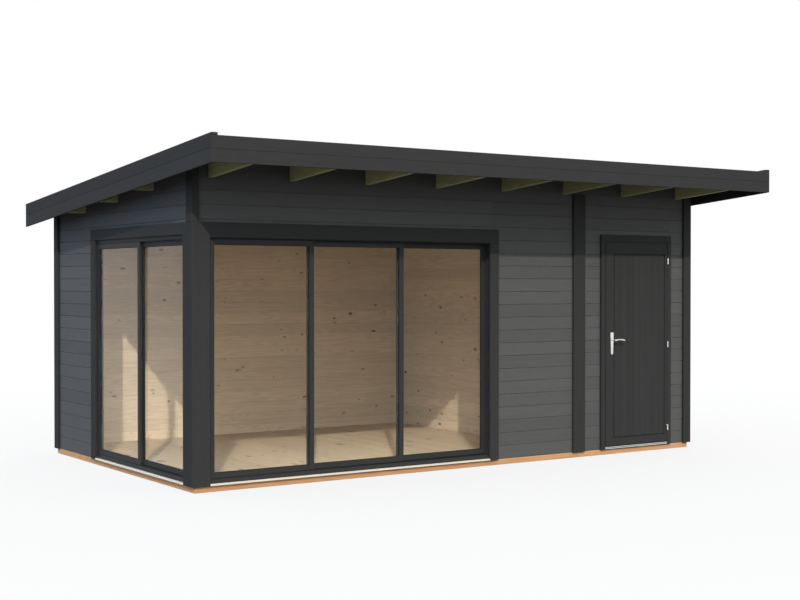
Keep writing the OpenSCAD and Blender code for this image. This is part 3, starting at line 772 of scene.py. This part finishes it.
class POD_OT_walls(Operator):
    """Stack the log walls, painted on the outer side only"""

    bl_idname = "pod.walls"
    bl_label = "Walls"

    def execute(self, context):
        outward = {
            "back_wall": AXES[Y],
            "right_wall": AXES[X],
            "left_wall_back": -AXES[X],
            "left_wall_over_window": -AXES[X],
            "front_wall_over_window": -AXES[Y],
            "front_wall_middle": -AXES[Y],
            "front_wall_left_of_door": -AXES[Y],
            "front_wall_over_door": -AXES[Y],
            "front_wall_right_of_door": -AXES[Y],
        }
        least_turn = 0.3
        for node, way in outward.items():
            piece = log_wall(node, way)
            finish_boards(piece, node + "_boards", [node], "wall_paint", "Wall paint", "Bare spruce")
            for face in piece.data.polygons:
                face.material_index = 0 if face.normal.dot(way) > least_turn else 1
        partition = log_wall("partition_wall", AXES[X])
        finish_boards(partition, "partition_boards", ["partition_wall"], "natural_spruce", "Bare spruce")
        return {"FINISHED"}


class POD_OT_cover_boards(Operator):
    """Fix the corner boards, the joint covers and the trims"""

    bl_idname = "pod.cover_boards"
    bl_label = "Cover boards"

    def execute(self, context):
        edge = context.scene.pod_boards.eased_edge
        for node, name, slope in (
            ("corner_post", "corner_post_timber", None),
            ("glazing_trim", "glazing_trim_boards", None),
            ("door_trim", "door_trim_boards", None),
            ("joint_covers", "joint_cover_boards", "top"),
        ):
            board_set(node, name, "trim_paint", "Trim paint", edge, slope)
        uprights = []
        level_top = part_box("glazing_trim")[1].z
        for lo, hi in solids("corner_boards"):
            level = abs(hi.z - level_top) < HAIR
            uprights.append(add_block(lo, hi) if level else sloped_block(lo, hi, False))
        piece = ease(join(uprights), edge)
        finish_boards(piece, "corner_board_set", ["corner_boards"], "trim_paint", "Trim paint")
        return {"FINISHED"}


def channel_bar(lo, hi, open_axis, open_up, depth, across):
    """Bar with one channel for each sash: a back, and fins that stand out of it on its open side"""
    glazing = bpy.context.scene.pod_glazing
    back_lo, back_hi = lo.copy(), hi.copy()
    fin_lo, fin_hi = lo.copy(), hi.copy()
    if open_up:
        back_hi[open_axis] -= depth
        fin_lo[open_axis] = back_hi[open_axis] - glazing.fin
    else:
        back_lo[open_axis] += depth
        fin_hi[open_axis] = back_lo[open_axis] + glazing.fin
    bars = [add_block(back_lo, back_hi)]
    for i in range(round((hi[across] - lo[across]) / glazing.track_pitch) + 1):
        fin_lo[across] = lo[across] + i * glazing.track_pitch
        fin_hi[across] = fin_lo[across] + glazing.fin
        bars.append(add_block(fin_lo, fin_hi))
    return bars


def brush_and_shade_row(lo, hi, across, z0, z1):
    """Dark brushes behind the fins of a track or a head, up against the sashes; they are pile seals, and
    they also stand in as painted shade for the dark gap between sash and frame
    """
    glazing = bpy.context.scene.pod_glazing
    start, end = lo.copy(), hi.copy()
    start[across] += glazing.fin
    end[across] = start[across] + glazing.brush
    start.z, end.z = z0, z1
    count = round((hi[across] - lo[across]) / glazing.track_pitch)
    return repeat(add_block(start, end), count, AXES[across] * glazing.track_pitch)


def sill_boards(side):
    """Bed under a track, and the lower nosing in front of it"""
    glazing = bpy.context.scene.pod_glazing
    along, across = GLAZED_SIDES[side]
    frame_lo, frame_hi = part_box(side + "_glazing_frame")
    lo, hi = max(solids("glazing_sills"), key=lambda box: box[1][along] - box[0][along])
    bed_lo, bed_hi, nose_hi = lo.copy(), hi.copy(), hi.copy()
    bed_lo[across] = frame_lo[across]
    bed_lo[along] = frame_lo[along] + glazing.jamb
    bed_hi[along] = frame_hi[along] - glazing.jamb
    nose_hi[across] = frame_lo[across] + glazing.nosing_lap
    nose_hi.z -= glazing.drip
    return add_block(bed_lo, bed_hi), add_block(lo, nose_hi)


class POD_OT_glazing_frames(Operator):
    """Build the channelled frames, their tracks and the pale sills"""

    bl_idname = "pod.glazing_frames"
    bl_label = "Glazing frames"

    def execute(self, context):
        glazing = context.scene.pod_glazing
        # The dark brushes are pile seals that also stand in as painted shade for the dark channels between
        # sashes and frame
        brushes_and_shade = []
        for side, (along, across) in GLAZED_SIDES.items():
            node = side + "_glazing_frame"
            frame_lo, frame_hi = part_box(node)
            middle = (frame_lo + frame_hi) / 2
            bars = []
            for lo, hi in solids(node):
                if hi.z - lo.z > middle.z:
                    bars += channel_bar(lo, hi, along, lo[along] < middle[along], glazing.channel, across)
                elif lo.z > middle.z:
                    bars += channel_bar(lo, hi, Z, False, glazing.channel, across)
                    top = lo.z + glazing.channel
                    brushes_and_shade.append(brush_and_shade_row(lo, hi, across, lo.z - glazing.brush_and_shade_height, top))
                else:
                    bars += channel_bar(lo, hi, Z, True, glazing.track_fin, across)
                    foot = hi.z - glazing.track_fin
                    brushes_and_shade.append(brush_and_shade_row(lo, hi, across, foot, hi.z + glazing.brush_and_shade_height))
            piece = ease(join(bars), glazing.metal_edge / 2, segments=1)
            finish(piece, node + "_bars", [node], "frame_metal", "Frame coat")
        # Dark brush strips: pile seals and painted shade in the channels
        finish(join(brushes_and_shade), "track_brushes", [], "frame_metal", "Seal rubber")
        beds, nosings = zip(*(sill_boards(side) for side in GLAZED_SIDES))
        piece = ease(join(nosings), glazing.sill_edge)
        finish(piece, "glazing_sill_nosings", ["glazing_sills"], "sill", "Off-white sill")
        piece = ease(join(beds), glazing.sill_edge)
        finish(piece, "glazing_sill_beds", [], "frame_metal", "Frame coat")
        return {"FINISHED"}


def sash_seals(node, glass, along, across):
    """Rubber seals on both faces of the glass, along the sight line"""
    glazing = bpy.context.scene.pod_glazing
    width = glazing.seal_width
    stiles, rails = [], []
    for lo, hi in solids(node):
        upright = hi.z - lo.z > hi[along] - lo[along]
        (stiles if upright else rails).append((lo, hi))
    left = min(hi[along] for lo, hi in stiles)
    right = max(lo[along] for lo, hi in stiles)
    bottom = min(hi.z for lo, hi in rails)
    top = max(lo.z for lo, hi in rails)
    outer, inner = (corner[across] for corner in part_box(glass))
    strips = []
    for near, far in ((outer - glazing.seal_height, outer), (inner, inner + glazing.seal_height)):
        for a0, a1, z0, z1 in (
            (left, left + width, bottom, top),
            (right - width, right, bottom, top),
            (left + width, right - width, bottom, bottom + width),
            (left + width, right - width, top - width, top),
        ):
            lo, hi = Vector((0, 0, z0)), Vector((0, 0, z1))
            lo[along], hi[along] = a0, a1
            lo[across], hi[across] = near, far
            strips.append((lo, hi))
    return ease(blocks(strips), glazing.seal_edge, segments=1)


def dress_sash(node, glass, bars, seals):
    """Finish one sash, its seals and its pane, on its own body"""
    finish(bars, node + "_bars", [node], "frame_metal", "Frame coat", body=SASHES[node])
    finish(seals, node + "_seals", [], "frame_metal", "Seal rubber", body=SASHES[node])
    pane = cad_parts[glass]
    pane.material_slots[0].material = bpy.data.materials["Clear glass"]
    pane.visible_shadow = False


class POD_OT_sashes(Operator):
    """Build the sliding sashes with their seals and glass"""

    bl_idname = "pod.sashes"
    bl_label = "Sashes"

    def execute(self, context):
        edge = context.scene.pod_glazing.metal_edge
        for side, axes in GLAZED_SIDES.items():
            first, *others = [node for node in SASHES if node.startswith(side)]
            glass = first.replace("sash", "glass")
            bars = ease(blocks(solids(first)), edge)
            seals = sash_seals(first, glass, *axes)
            for node in others:
                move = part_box(node)[0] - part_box(first)[0]
                pane = node.replace("sash", "glass")
                dress_sash(node, pane, copy_to(bars, move), copy_to(seals, move))
            dress_sash(first, glass, bars, seals)
        return {"FINISHED"}


class POD_OT_door(Operator):
    """Build the store door with its frame and threshold"""

    bl_idname = "pod.door"
    bl_label = "Store door"

    def execute(self, context):
        boards, door = context.scene.pod_boards, context.scene.pod_door
        self.build_frame(door, boards.eased_edge / 2)
        self.build_threshold(door)
        self.build_leaf(boards.eased_edge / 2)
        self.build_panel(boards)
        return {"FINISHED"}

    def build_frame(self, door, edge):
        """Jambs and head with the stop that the leaf closes on, and a weather strip over the leaf"""
        leaf_lo, leaf_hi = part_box("door_leaf")
        lo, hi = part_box("door_frame")
        stop = door.stop
        stop_y = leaf_hi.y + door.gap
        x0, x1 = leaf_lo.x - door.gap, leaf_hi.x + door.gap
        head = leaf_hi.z + door.gap
        strip_y = leaf_lo.y + door.strip_inset
        strip_z = leaf_hi.z + door.strip_gap
        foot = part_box("door_threshold")[1].z + door.running_gap
        piece = blocks([
            (lo, (x0, hi.y, hi.z)),
            ((x1, lo.y, lo.z), hi),
            ((x0, lo.y, head), (x1, hi.y, hi.z)),
            ((x0, stop_y, foot), (x0 + stop, hi.y, head)),
            ((x1 - stop, stop_y, foot), (x1, hi.y, head)),
            ((x0 + stop, stop_y, head - stop), (x1 - stop, hi.y, head)),
            ((x0, strip_y, strip_z), (x1, stop_y, head)),
        ])
        finish_boards(ease(piece, edge), "door_frame_timbers", ["door_frame"], "trim_paint", "Trim paint")

    def build_threshold(self, door):
        """Dark core with aluminium ribs on its top and its front; the core's dark coat between the ribs is
        partly painted shade for the grooves
        """
        lo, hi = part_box("door_threshold")
        rib, front = door.rib, door.rib_front
        quarter = (hi.z - lo.z) / 4
        # The dark coat on the core stands in as painted shade in the grooves between the ribs
        core = add_block((lo.x, lo.y + front, lo.z), (hi.x, hi.y, hi.z - rib))
        ease(core, door.rib_edge, segments=1)
        finish(core, "door_threshold_core", [], "frame_metal", "Frame coat")
        ribs = []
        for z in (lo.z + quarter, hi.z - quarter):
            bar = add_block((lo.x, lo.y, z), (hi.x, lo.y + 2 * front, z + quarter))
            ribs.append(ease(bar, door.rib_edge, segments=1))
        bar = add_block((lo.x, lo.y + 4 * rib, hi.z - 2 * rib), (hi.x, lo.y + 5 * rib, hi.z))
        chamfer(bar, rib / 4, lambda p: p.z > hi.z - rib / 2)
        repeat(bar, int((hi.y - lo.y - 5 * rib) / door.rib_pitch), (0, door.rib_pitch, 0))
        piece = join(ribs + [bar])
        finish(piece, "door_threshold_ribs", ["door_threshold"], "threshold", "Ribbed aluminium")

    def build_leaf(self, edge):
        """Stiles and rails"""
        piece = ease(blocks(solids("door_leaf")), edge)
        finish_boards(
            piece, "door_leaf_timbers", ["door_leaf"], "door_paint", "Trim paint", body="store_door"
        )

    def build_panel(self, boards):
        """Core in the leaf's groove, and upright boards that stand out of it inside an open margin"""
        lo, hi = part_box("door_panel")
        middle = (lo.y + hi.y) / 2
        half = boards.panel_core / 2
        core = add_block((lo.x, middle - half, lo.z), (hi.x, middle + half, hi.z))
        inset = boards.panel_seat + boards.panel_margin
        width = (hi.x - lo.x - inset - boards.panel_seat - boards.hinge_margin) / boards.panel_boards
        board_lo = Vector((lo.x + inset, lo.y, lo.z + inset))
        board = add_block(board_lo, (board_lo.x + width, hi.y, hi.z - inset))
        chamfer(board, boards.eased_edge, lambda p: True, run=Z)
        repeat(board, boards.panel_boards, (width, 0, 0))
        finish_boards(
            join([board, core]), "door_panel_boards", ["door_panel"], "door_paint", "Trim paint",
            body="store_door"
        )


def add_rod(start, end, radius, sides=32):
    """Cylinder between two points on one axis"""
    start, end = Vector(start), Vector(end)
    deselect()
    turn = (end - start).to_track_quat("Z", "Y").to_euler()
    bpy.ops.mesh.primitive_cylinder_add(
        vertices=sides, radius=radius, depth=(end - start).length, location=(start + end) / 2, rotation=turn
    )
    bpy.ops.object.transform_apply()
    return bpy.context.object


def smooth(piece, corner=math.radians(40)):
    """Shade round faces smoothly and keep the corners"""
    focus(piece)
    bpy.ops.object.shade_smooth_by_angle(angle=corner)
    return piece


class POD_OT_hinges(Operator):
    """Build the three hinges of the store door"""

    bl_idname = "pod.hinges"
    bl_label = "Hinges"

    def execute(self, context):
        door = context.scene.pod_door
        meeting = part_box("hinge_door_halves")[0].z - door.running_gap
        for node, name, body, side in (
            ("hinge_frame_halves", "hinge_frame_set", "building", 1),
            ("hinge_door_halves", "hinge_door_set", "store_door", -1),
        ):
            boxes = sorted(solids(node), key=lambda box: box[0].z)
            lo, hi = boxes[0]
            if body == "building":
                hi.z = meeting
            half = self.build_half(door, lo, hi, side)
            halves = [half] + [copy_to(half, (0, 0, box[0].z - lo.z)) for box in boxes[1:]]
            finish(join(halves), name, [node], "bright_metal", "Satin steel", body=body)
        return {"FINISHED"}

    def build_half(self, door, lo, hi, side):
        """Barrel with rounded ends, and its plate in the gap beside the leaf"""
        radius = (hi.x - lo.x) / 2
        axis = Vector((lo.x + radius, lo.y + radius, lo.z))
        barrel = ease(add_rod(axis, (axis.x, axis.y, hi.z), radius), door.hinge_edge)
        outer = axis.x + side * door.hinge_face
        x0, x1 = sorted((outer, outer - side * door.hinge_plate))
        plate = ease(add_block((x0, axis.y, lo.z), (x1, hi.y, hi.z)), door.hinge_plate / 4)
        return smooth(join([barrel, plate]))


class POD_OT_handle(Operator):
    """Build the backplates and the lever handle"""

    bl_idname = "pod.handle"
    bl_label = "Handle"

    def execute(self, context):
        door = context.scene.pod_door
        lever_lo, lever_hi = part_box("handle_levers")
        plate_lo, plate_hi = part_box("handle_plates")
        leaf_lo, leaf_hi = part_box("door_leaf")
        axis = (plate_lo + plate_hi) / 2
        axis.y = (leaf_lo.y + leaf_hi.y) / 2
        axis.z = plate_hi.z - door.lever_drop
        plates = []
        levers = []
        for face, outer, tip in ((leaf_lo.y, plate_lo.y, lever_lo.y), (leaf_hi.y, plate_hi.y, lever_hi.y)):
            plates.append(self.build_plate(door, axis, plate_lo, plate_hi, face, outer))
            levers.append(self.build_lever(door, axis, outer, tip, lever_hi.x))
        for pair, name, node, body in (
            (plates, "handle_plate_pair", "handle_plates", "store_door"),
            (levers, "handle_lever_pair", "handle_levers", "door_lever"),
        ):
            finish(join(pair), name, [node], "bright_metal", "Satin steel", body=body)
        return {"FINISHED"}

    def build_plate(self, door, axis, lo, hi, face, outer):
        """Long plate that narrows downwards, with a lock cylinder and two screws"""
        way = 1 if outer > face else -1
        middle = (lo.z + hi.z) / 2
        plate = add_block((lo.x, min(face, outer), lo.z), (hi.x, max(face, outer), hi.z))
        edit_where(plate, "vertices", lambda vertex: vertex.co.z < middle)
        bpy.ops.transform.resize(value=(door.plate_taper, 1, 1), center_override=(axis.x, face, lo.z))
        leave_edit()
        chamfer(plate, door.plate_corner, lambda p: True, segments=6, run=Y)
        chamfer(plate, door.plate_edge, lambda p: abs(p.y - outer) < HAIR, segments=3)
        lock_z = axis.z - door.lock_drop
        proud = outer + way * door.lock_proud
        lock = add_rod((axis.x, face, lock_z), (axis.x, proud, lock_z), door.lock)
        web = add_block(
            (axis.x - door.web, min(face, proud), lock_z - door.web_height),
            (axis.x + door.web, max(face, proud), lock_z),
        )
        parts = [plate, ease(lock, door.lock_edge), ease(web, 2 * door.lock_edge)]
        proud = outer + way * door.screw_proud
        for z in (hi.z - door.screw_top, lo.z + door.screw_foot):
            screw = add_rod((axis.x, face, z), (axis.x, proud, z), door.screw, sides=20)
            parts.append(ease(screw, door.screw_edge))
        return smooth(join(parts))

    def build_lever(self, door, axis, outer, tip, end_x):
        """Neck out of the plate and an arm that rises, then droops to a rounded end"""
        way = 1 if tip > outer else -1
        radius = door.lever
        arm_y = tip - way * radius
        neck = add_rod(axis, (axis.x, arm_y, axis.z), door.neck)
        collar_y = outer + way * door.collar_depth
        collar = add_rod((axis.x, outer, axis.z), (axis.x, collar_y, axis.z), door.collar)
        ease(collar, door.collar_edge)
        whole = end_x - axis.x - radius
        reached, height = door.lever_root, 0.0
        root = Vector((axis.x, arm_y, axis.z))
        arm = add_rod(root - radius * AXES[X], root + reached * AXES[X], radius, sides=16)
        for share, rise, girth in LEVER_STATIONS:
            end = axis.x + reached
            edit_where(arm, "polygons", lambda face: face.center.x > end - HAIR)
            move = (share * whole - reached, 0, rise - height)
            bpy.ops.mesh.extrude_region_move(TRANSFORM_OT_translate={"value": move})
            bpy.ops.transform.resize(value=(1, girth, girth))
            leave_edit()
            reached, height = share * whole, rise
        lo, hi = span(arm.data, range(len(arm.data.vertices)))
        rounding = 0.6 * radius
        chamfer(arm, rounding, lambda p: p.x < lo.x + HAIR or p.x > hi.x - HAIR, segments=4)
        return smooth(join([neck, collar, arm]))


class POD_OT_roof_timbers(Operator):
    """Raise the rafters, lookouts, blocking and roof boards"""

    bl_idname = "pod.roof_timbers"
    bl_label = "Roof timbers"

    def execute(self, context):
        boards = context.scene.pod_boards
        self.build_rafters(boards)
        edge = boards.eased_edge
        board_set("roof_lookouts", "lookout_set", "treated_wood", "Treated timber", edge, "whole")
        edge = boards.blocking_edge
        board_set("eaves_blocking", "blocking_boards", "wall_paint", "Wall paint", edge, "whole")
        self.build_roof_boards(boards)
        return {"FINISHED"}

    def build_rafters(self, boards):
        """Rafters whose tails are sawn off slantwise behind the back wall"""
        wall_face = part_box("back_wall")[1].y
        tail_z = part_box("back_fascia")[0].z
        rafters = []
        for lo, hi in solids("rafters"):
            heel = Vector((lo.x, wall_face, lo.z))
            tip = Vector((lo.x, hi.y, tail_z))
            below = lo.z - boards.fall * (hi.y - wall_face)
            rafter = sloped_block(Vector((lo.x, lo.y, below)), hi)
            slant = tip - heel
            saw(rafter, heel, Vector((0, slant.z, -slant.y)).normalized())
            rafters.append(rafter)
        piece = ease(join(rafters), boards.eased_edge)
        finish_boards(piece, "rafter_set", ["rafters"], "treated_wood", "Treated timber")

    def build_roof_boards(self, boards):
        """Roof boards along the building, each a step lower than the last"""
        lo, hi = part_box("roof_boards")
        drop = boards.fall * (hi.y - lo.y)
        thick = hi.z - lo.z - drop
        count = math.ceil((hi.y - lo.y) / boards.roof_board)
        step = boards.roof_board
        first_lo = Vector((lo.x, lo.y, hi.z - thick - boards.fall * step))
        piece = sloped_block(first_lo, Vector((hi.x, lo.y + step, hi.z)))
        under = hi.z - thick / 2
        chamfer(piece, boards.roof_groove, lambda p: p.z < under, run=X)
        repeat(piece, count, (0, step, -boards.fall * step))
        saw(piece, (0, hi.y, 0), AXES[Y])
        finish_boards(piece, "roof_board_set", ["roof_boards"], "natural_spruce", "Bare spruce")


class POD_OT_fascias(Operator):
    """Fix the two-course fascias and the verge battens"""

    bl_idname = "pod.fascias"
    bl_label = "Fascias"

    def execute(self, context):
        boards = context.scene.pod_boards
        edge = boards.eased_edge
        self.build_front(boards)
        self.build_sides(boards)
        board_set("back_fascia", "back_fascia_board", "trim_paint", "Trim paint", edge)
        board_set("verge_battens", "verge_batten_pair", "trim_paint", "Trim paint", edge, "whole")
        return {"FINISHED"}

    def build_front(self, boards):
        """Two courses, and raised ends in front of the verges"""
        lo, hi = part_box("front_fascia")
        left, right = solids("verge_battens")
        middle = lo.z + boards.fascia / 2
        top = lo.z + boards.fascia
        piece = blocks([
            (lo, (hi.x, hi.y, middle)),
            ((lo.x, lo.y, middle), (hi.x, hi.y, top)),
            ((lo.x, lo.y, top), (left[1].x, hi.y, hi.z)),
            ((right[0].x, lo.y, top), hi),
        ])
        ease(piece, boards.eased_edge)
        finish_boards(piece, "front_fascia_courses", ["front_fascia"], "trim_paint", "Trim paint")

    def build_sides(self, boards):
        """Two courses that follow the fall of the roof"""
        courses = []
        for lo, hi in solids("side_fascias"):
            height = (hi.z - lo.z - boards.fall * (hi.y - lo.y)) / 2
            courses.append(sloped_block(lo, hi - height * AXES[Z]))
            courses.append(sloped_block(lo + height * AXES[Z], hi))
        piece = ease(join(courses), boards.eased_edge)
        finish_boards(piece, "side_fascia_courses", ["side_fascias"], "trim_paint", "Trim paint")


class POD_OT_roof_covering(Operator):
    """Roll out the roof covering in lapped strips"""

    bl_idname = "pod.roof_covering"
    bl_label = "Roof covering"

    def execute(self, context):
        boards = context.scene.pod_boards
        lo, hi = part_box("roof_covering")
        thick = hi.z - lo.z - boards.fall * (hi.y - lo.y)
        strips = []
        back = hi.y
        while back > lo.y:
            front = max(back - boards.roll_width, lo.y)
            top = hi.z - boards.fall * (front - lo.y)
            bottom = hi.z - boards.fall * (back - lo.y) - thick
            strip = sloped_block(Vector((lo.x, front, bottom)), Vector((hi.x, back, top)))
            if strips:
                shift(strip, lambda p: p.y > (front + back) / 2, (0, 0, thick))
            strips.append(strip)
            back = front + boards.roll_lap if front > lo.y else front
        piece = ease(join(strips), boards.roll_edge, segments=1)
        finish_boards(piece, "roof_covering_strips", ["roof_covering"], "roof_covering", "Roof felt")
        return {"FINISHED"}


def mix_white(tree, kind, share, shader, output):
    """Let plain white take a share of what a shader shows"""
    white = add_node(tree, kind, {"Color": WHITE, "Strength": 1.0})
    inputs = {0: share, 1: shader.outputs[0], 2: white.outputs[0]}
    mixed = add_node(tree, "ShaderNodeMixShader", inputs)
    tree.links.new(mixed.outputs[0], node_of(tree, output).inputs["Surface"])


class POD_OT_stage(Operator):
    """Set the pale floor, the light and the camera"""

    bl_idname = "pod.stage"
    bl_label = "Stage"

    def execute(self, context):
        stage = context.scene.pod_stage
        self.lay_floor(stage)
        self.light(context, stage)
        self.set_camera(context, stage)
        context.scene.view_settings.view_transform = "Standard"
        return {"FINISHED"}

    def lay_floor(self, stage):
        """Pale floor that shows the building's shadow and turns plain white away from it"""
        tints = bpy.context.scene.pod_finishes
        deselect()
        bpy.ops.mesh.primitive_plane_add(size=stage.floor_size, location=(0, 0, 0))
        floor = bpy.context.object
        floor.name = "stage_floor"
        tree, shader = new_material("Pale floor")
        path = add_node(tree, "ShaderNodeLightPath").outputs
        tone = mix_colour(tree, path["Is Camera Ray"], rgba(tints.floor), rgba(tints.floor_seen))
        tree.links.new(tone, shader.inputs["Base Color"])
        shader.inputs["Roughness"].default_value = 0.9
        shader.inputs["Specular IOR Level"].default_value = 0.0
        place = add_node(tree, "ShaderNodeTexCoord").outputs["Object"]
        distance = add_node(tree, "ShaderNodeVectorMath", {0: place}, operation="LENGTH").outputs["Value"]
        near, far = stage.floor_fade
        glow = ramp(tree, distance, near, far, stage.floor_glow, 1.0)
        share = math_node(tree, "MULTIPLY", self.in_view(tree, path), glow)
        mix_white(tree, "ShaderNodeEmission", share, shader, "OUTPUT_MATERIAL")
        floor.data.materials.append(bpy.data.materials["Pale floor"])

    def in_view(self, tree, path):
        """One for rays from the camera, also by way of a reflection or a pane, and nought for light"""
        seen = math_node(tree, "MAXIMUM", path["Is Camera Ray"], path["Is Glossy Ray"])
        seen = math_node(tree, "MAXIMUM", seen, path["Is Transmission Ray"])
        return math_node(tree, "MULTIPLY", seen, math_node(tree, "LESS_THAN", path["Diffuse Depth"], 0.5))

    def light(self, context, stage):
        """Sun from the front left and a soft sky, bluer on the left"""
        deselect()
        bpy.ops.object.light_add(type="SUN", location=(-6, -10, 9))
        sun = bpy.context.object
        sun.name = "stage_sun"
        sun.rotation_euler = Vector(stage.sun_ray).to_track_quat("-Z", "Y").to_euler()
        sun.data.energy = stage.sun
        sun.data.angle = stage.sun_size
        tints = context.scene.pod_finishes
        sun.data.color = tints.sunlight
        world = bpy.data.worlds.new("Stage sky")
        world.use_nodes = True
        tree = world.node_tree
        sky = node_of(tree, "BACKGROUND")
        view = add_node(tree, "ShaderNodeTexCoord").outputs["Generated"]
        sideways = add_node(tree, "ShaderNodeSeparateXYZ", {"Vector": view}).outputs["X"]
        leftmost = -0.9
        left = ramp(tree, sideways, leftmost, 0.0, 1.0, 0.0)
        tone = mix_colour(tree, left, rgba(tints.sky), rgba(tints.blue_sky))
        tree.links.new(tone, sky.inputs["Color"])
        sky.inputs["Strength"].default_value = stage.sky
        seen = self.in_view(tree, add_node(tree, "ShaderNodeLightPath").outputs)
        mix_white(tree, "ShaderNodeBackground", seen, sky, "OUTPUT_WORLD")
        context.scene.world = world

    def set_camera(self, context, stage):
        """Camera at the photograph's standpoint"""
        deselect()
        turn = (math.radians(90) - stage.dip, 0, -stage.heading)
        bpy.ops.object.camera_add(location=stage.eye, rotation=turn)
        camera = bpy.context.object
        camera.name = "stage_camera"
        camera.data.sensor_width = 36
        camera.data.lens = stage.lens
        context.scene.camera = camera


STEPS = (
    POD_OT_finishes,
    POD_OT_stage,
    POD_OT_base,
    POD_OT_floor,
    POD_OT_walls,
    POD_OT_cover_boards,
    POD_OT_glazing_frames,
    POD_OT_sashes,
    POD_OT_door,
    POD_OT_hinges,
    POD_OT_handle,
    POD_OT_roof_timbers,
    POD_OT_fascias,
    POD_OT_roof_covering,
)
SETTINGS = {
    "pod_boards": PodBoards,
    "pod_glazing": PodGlazing,
    "pod_door": PodDoor,
    "pod_finishes": PodFinishes,
    "pod_stage": PodStage,
}


class POD_PT_steps(Panel):
    """Building steps and their settings"""

    bl_idname = "POD_PT_steps"
    bl_label = "Garden office pod"
    bl_space_type = "VIEW_3D"
    bl_region_type = "UI"
    bl_category = "Pod"

    def draw(self, context):
        for step in STEPS:
            self.layout.operator(step.bl_idname)
        for name, group in SETTINGS.items():
            box = self.layout.box()
            for prop in group.__annotations__:
                box.prop(getattr(context.scene, name), prop)


def register():
    for cls in (*SETTINGS.values(), *STEPS, POD_PT_steps):
        bpy.utils.register_class(cls)
    for name, group in SETTINGS.items():
        setattr(bpy.types.Scene, name, PointerProperty(type=group))


def unregister():
    for name in SETTINGS:
        delattr(bpy.types.Scene, name)
    for cls in (POD_PT_steps, *reversed(STEPS), *SETTINGS.values()):
        bpy.utils.unregister_class(cls)


def main():
    """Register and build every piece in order"""
    register()
    for step in STEPS:
        getattr(bpy.ops.pod, step.bl_idname.split(".")[1])()


if __name__ == "__main__":
    main()
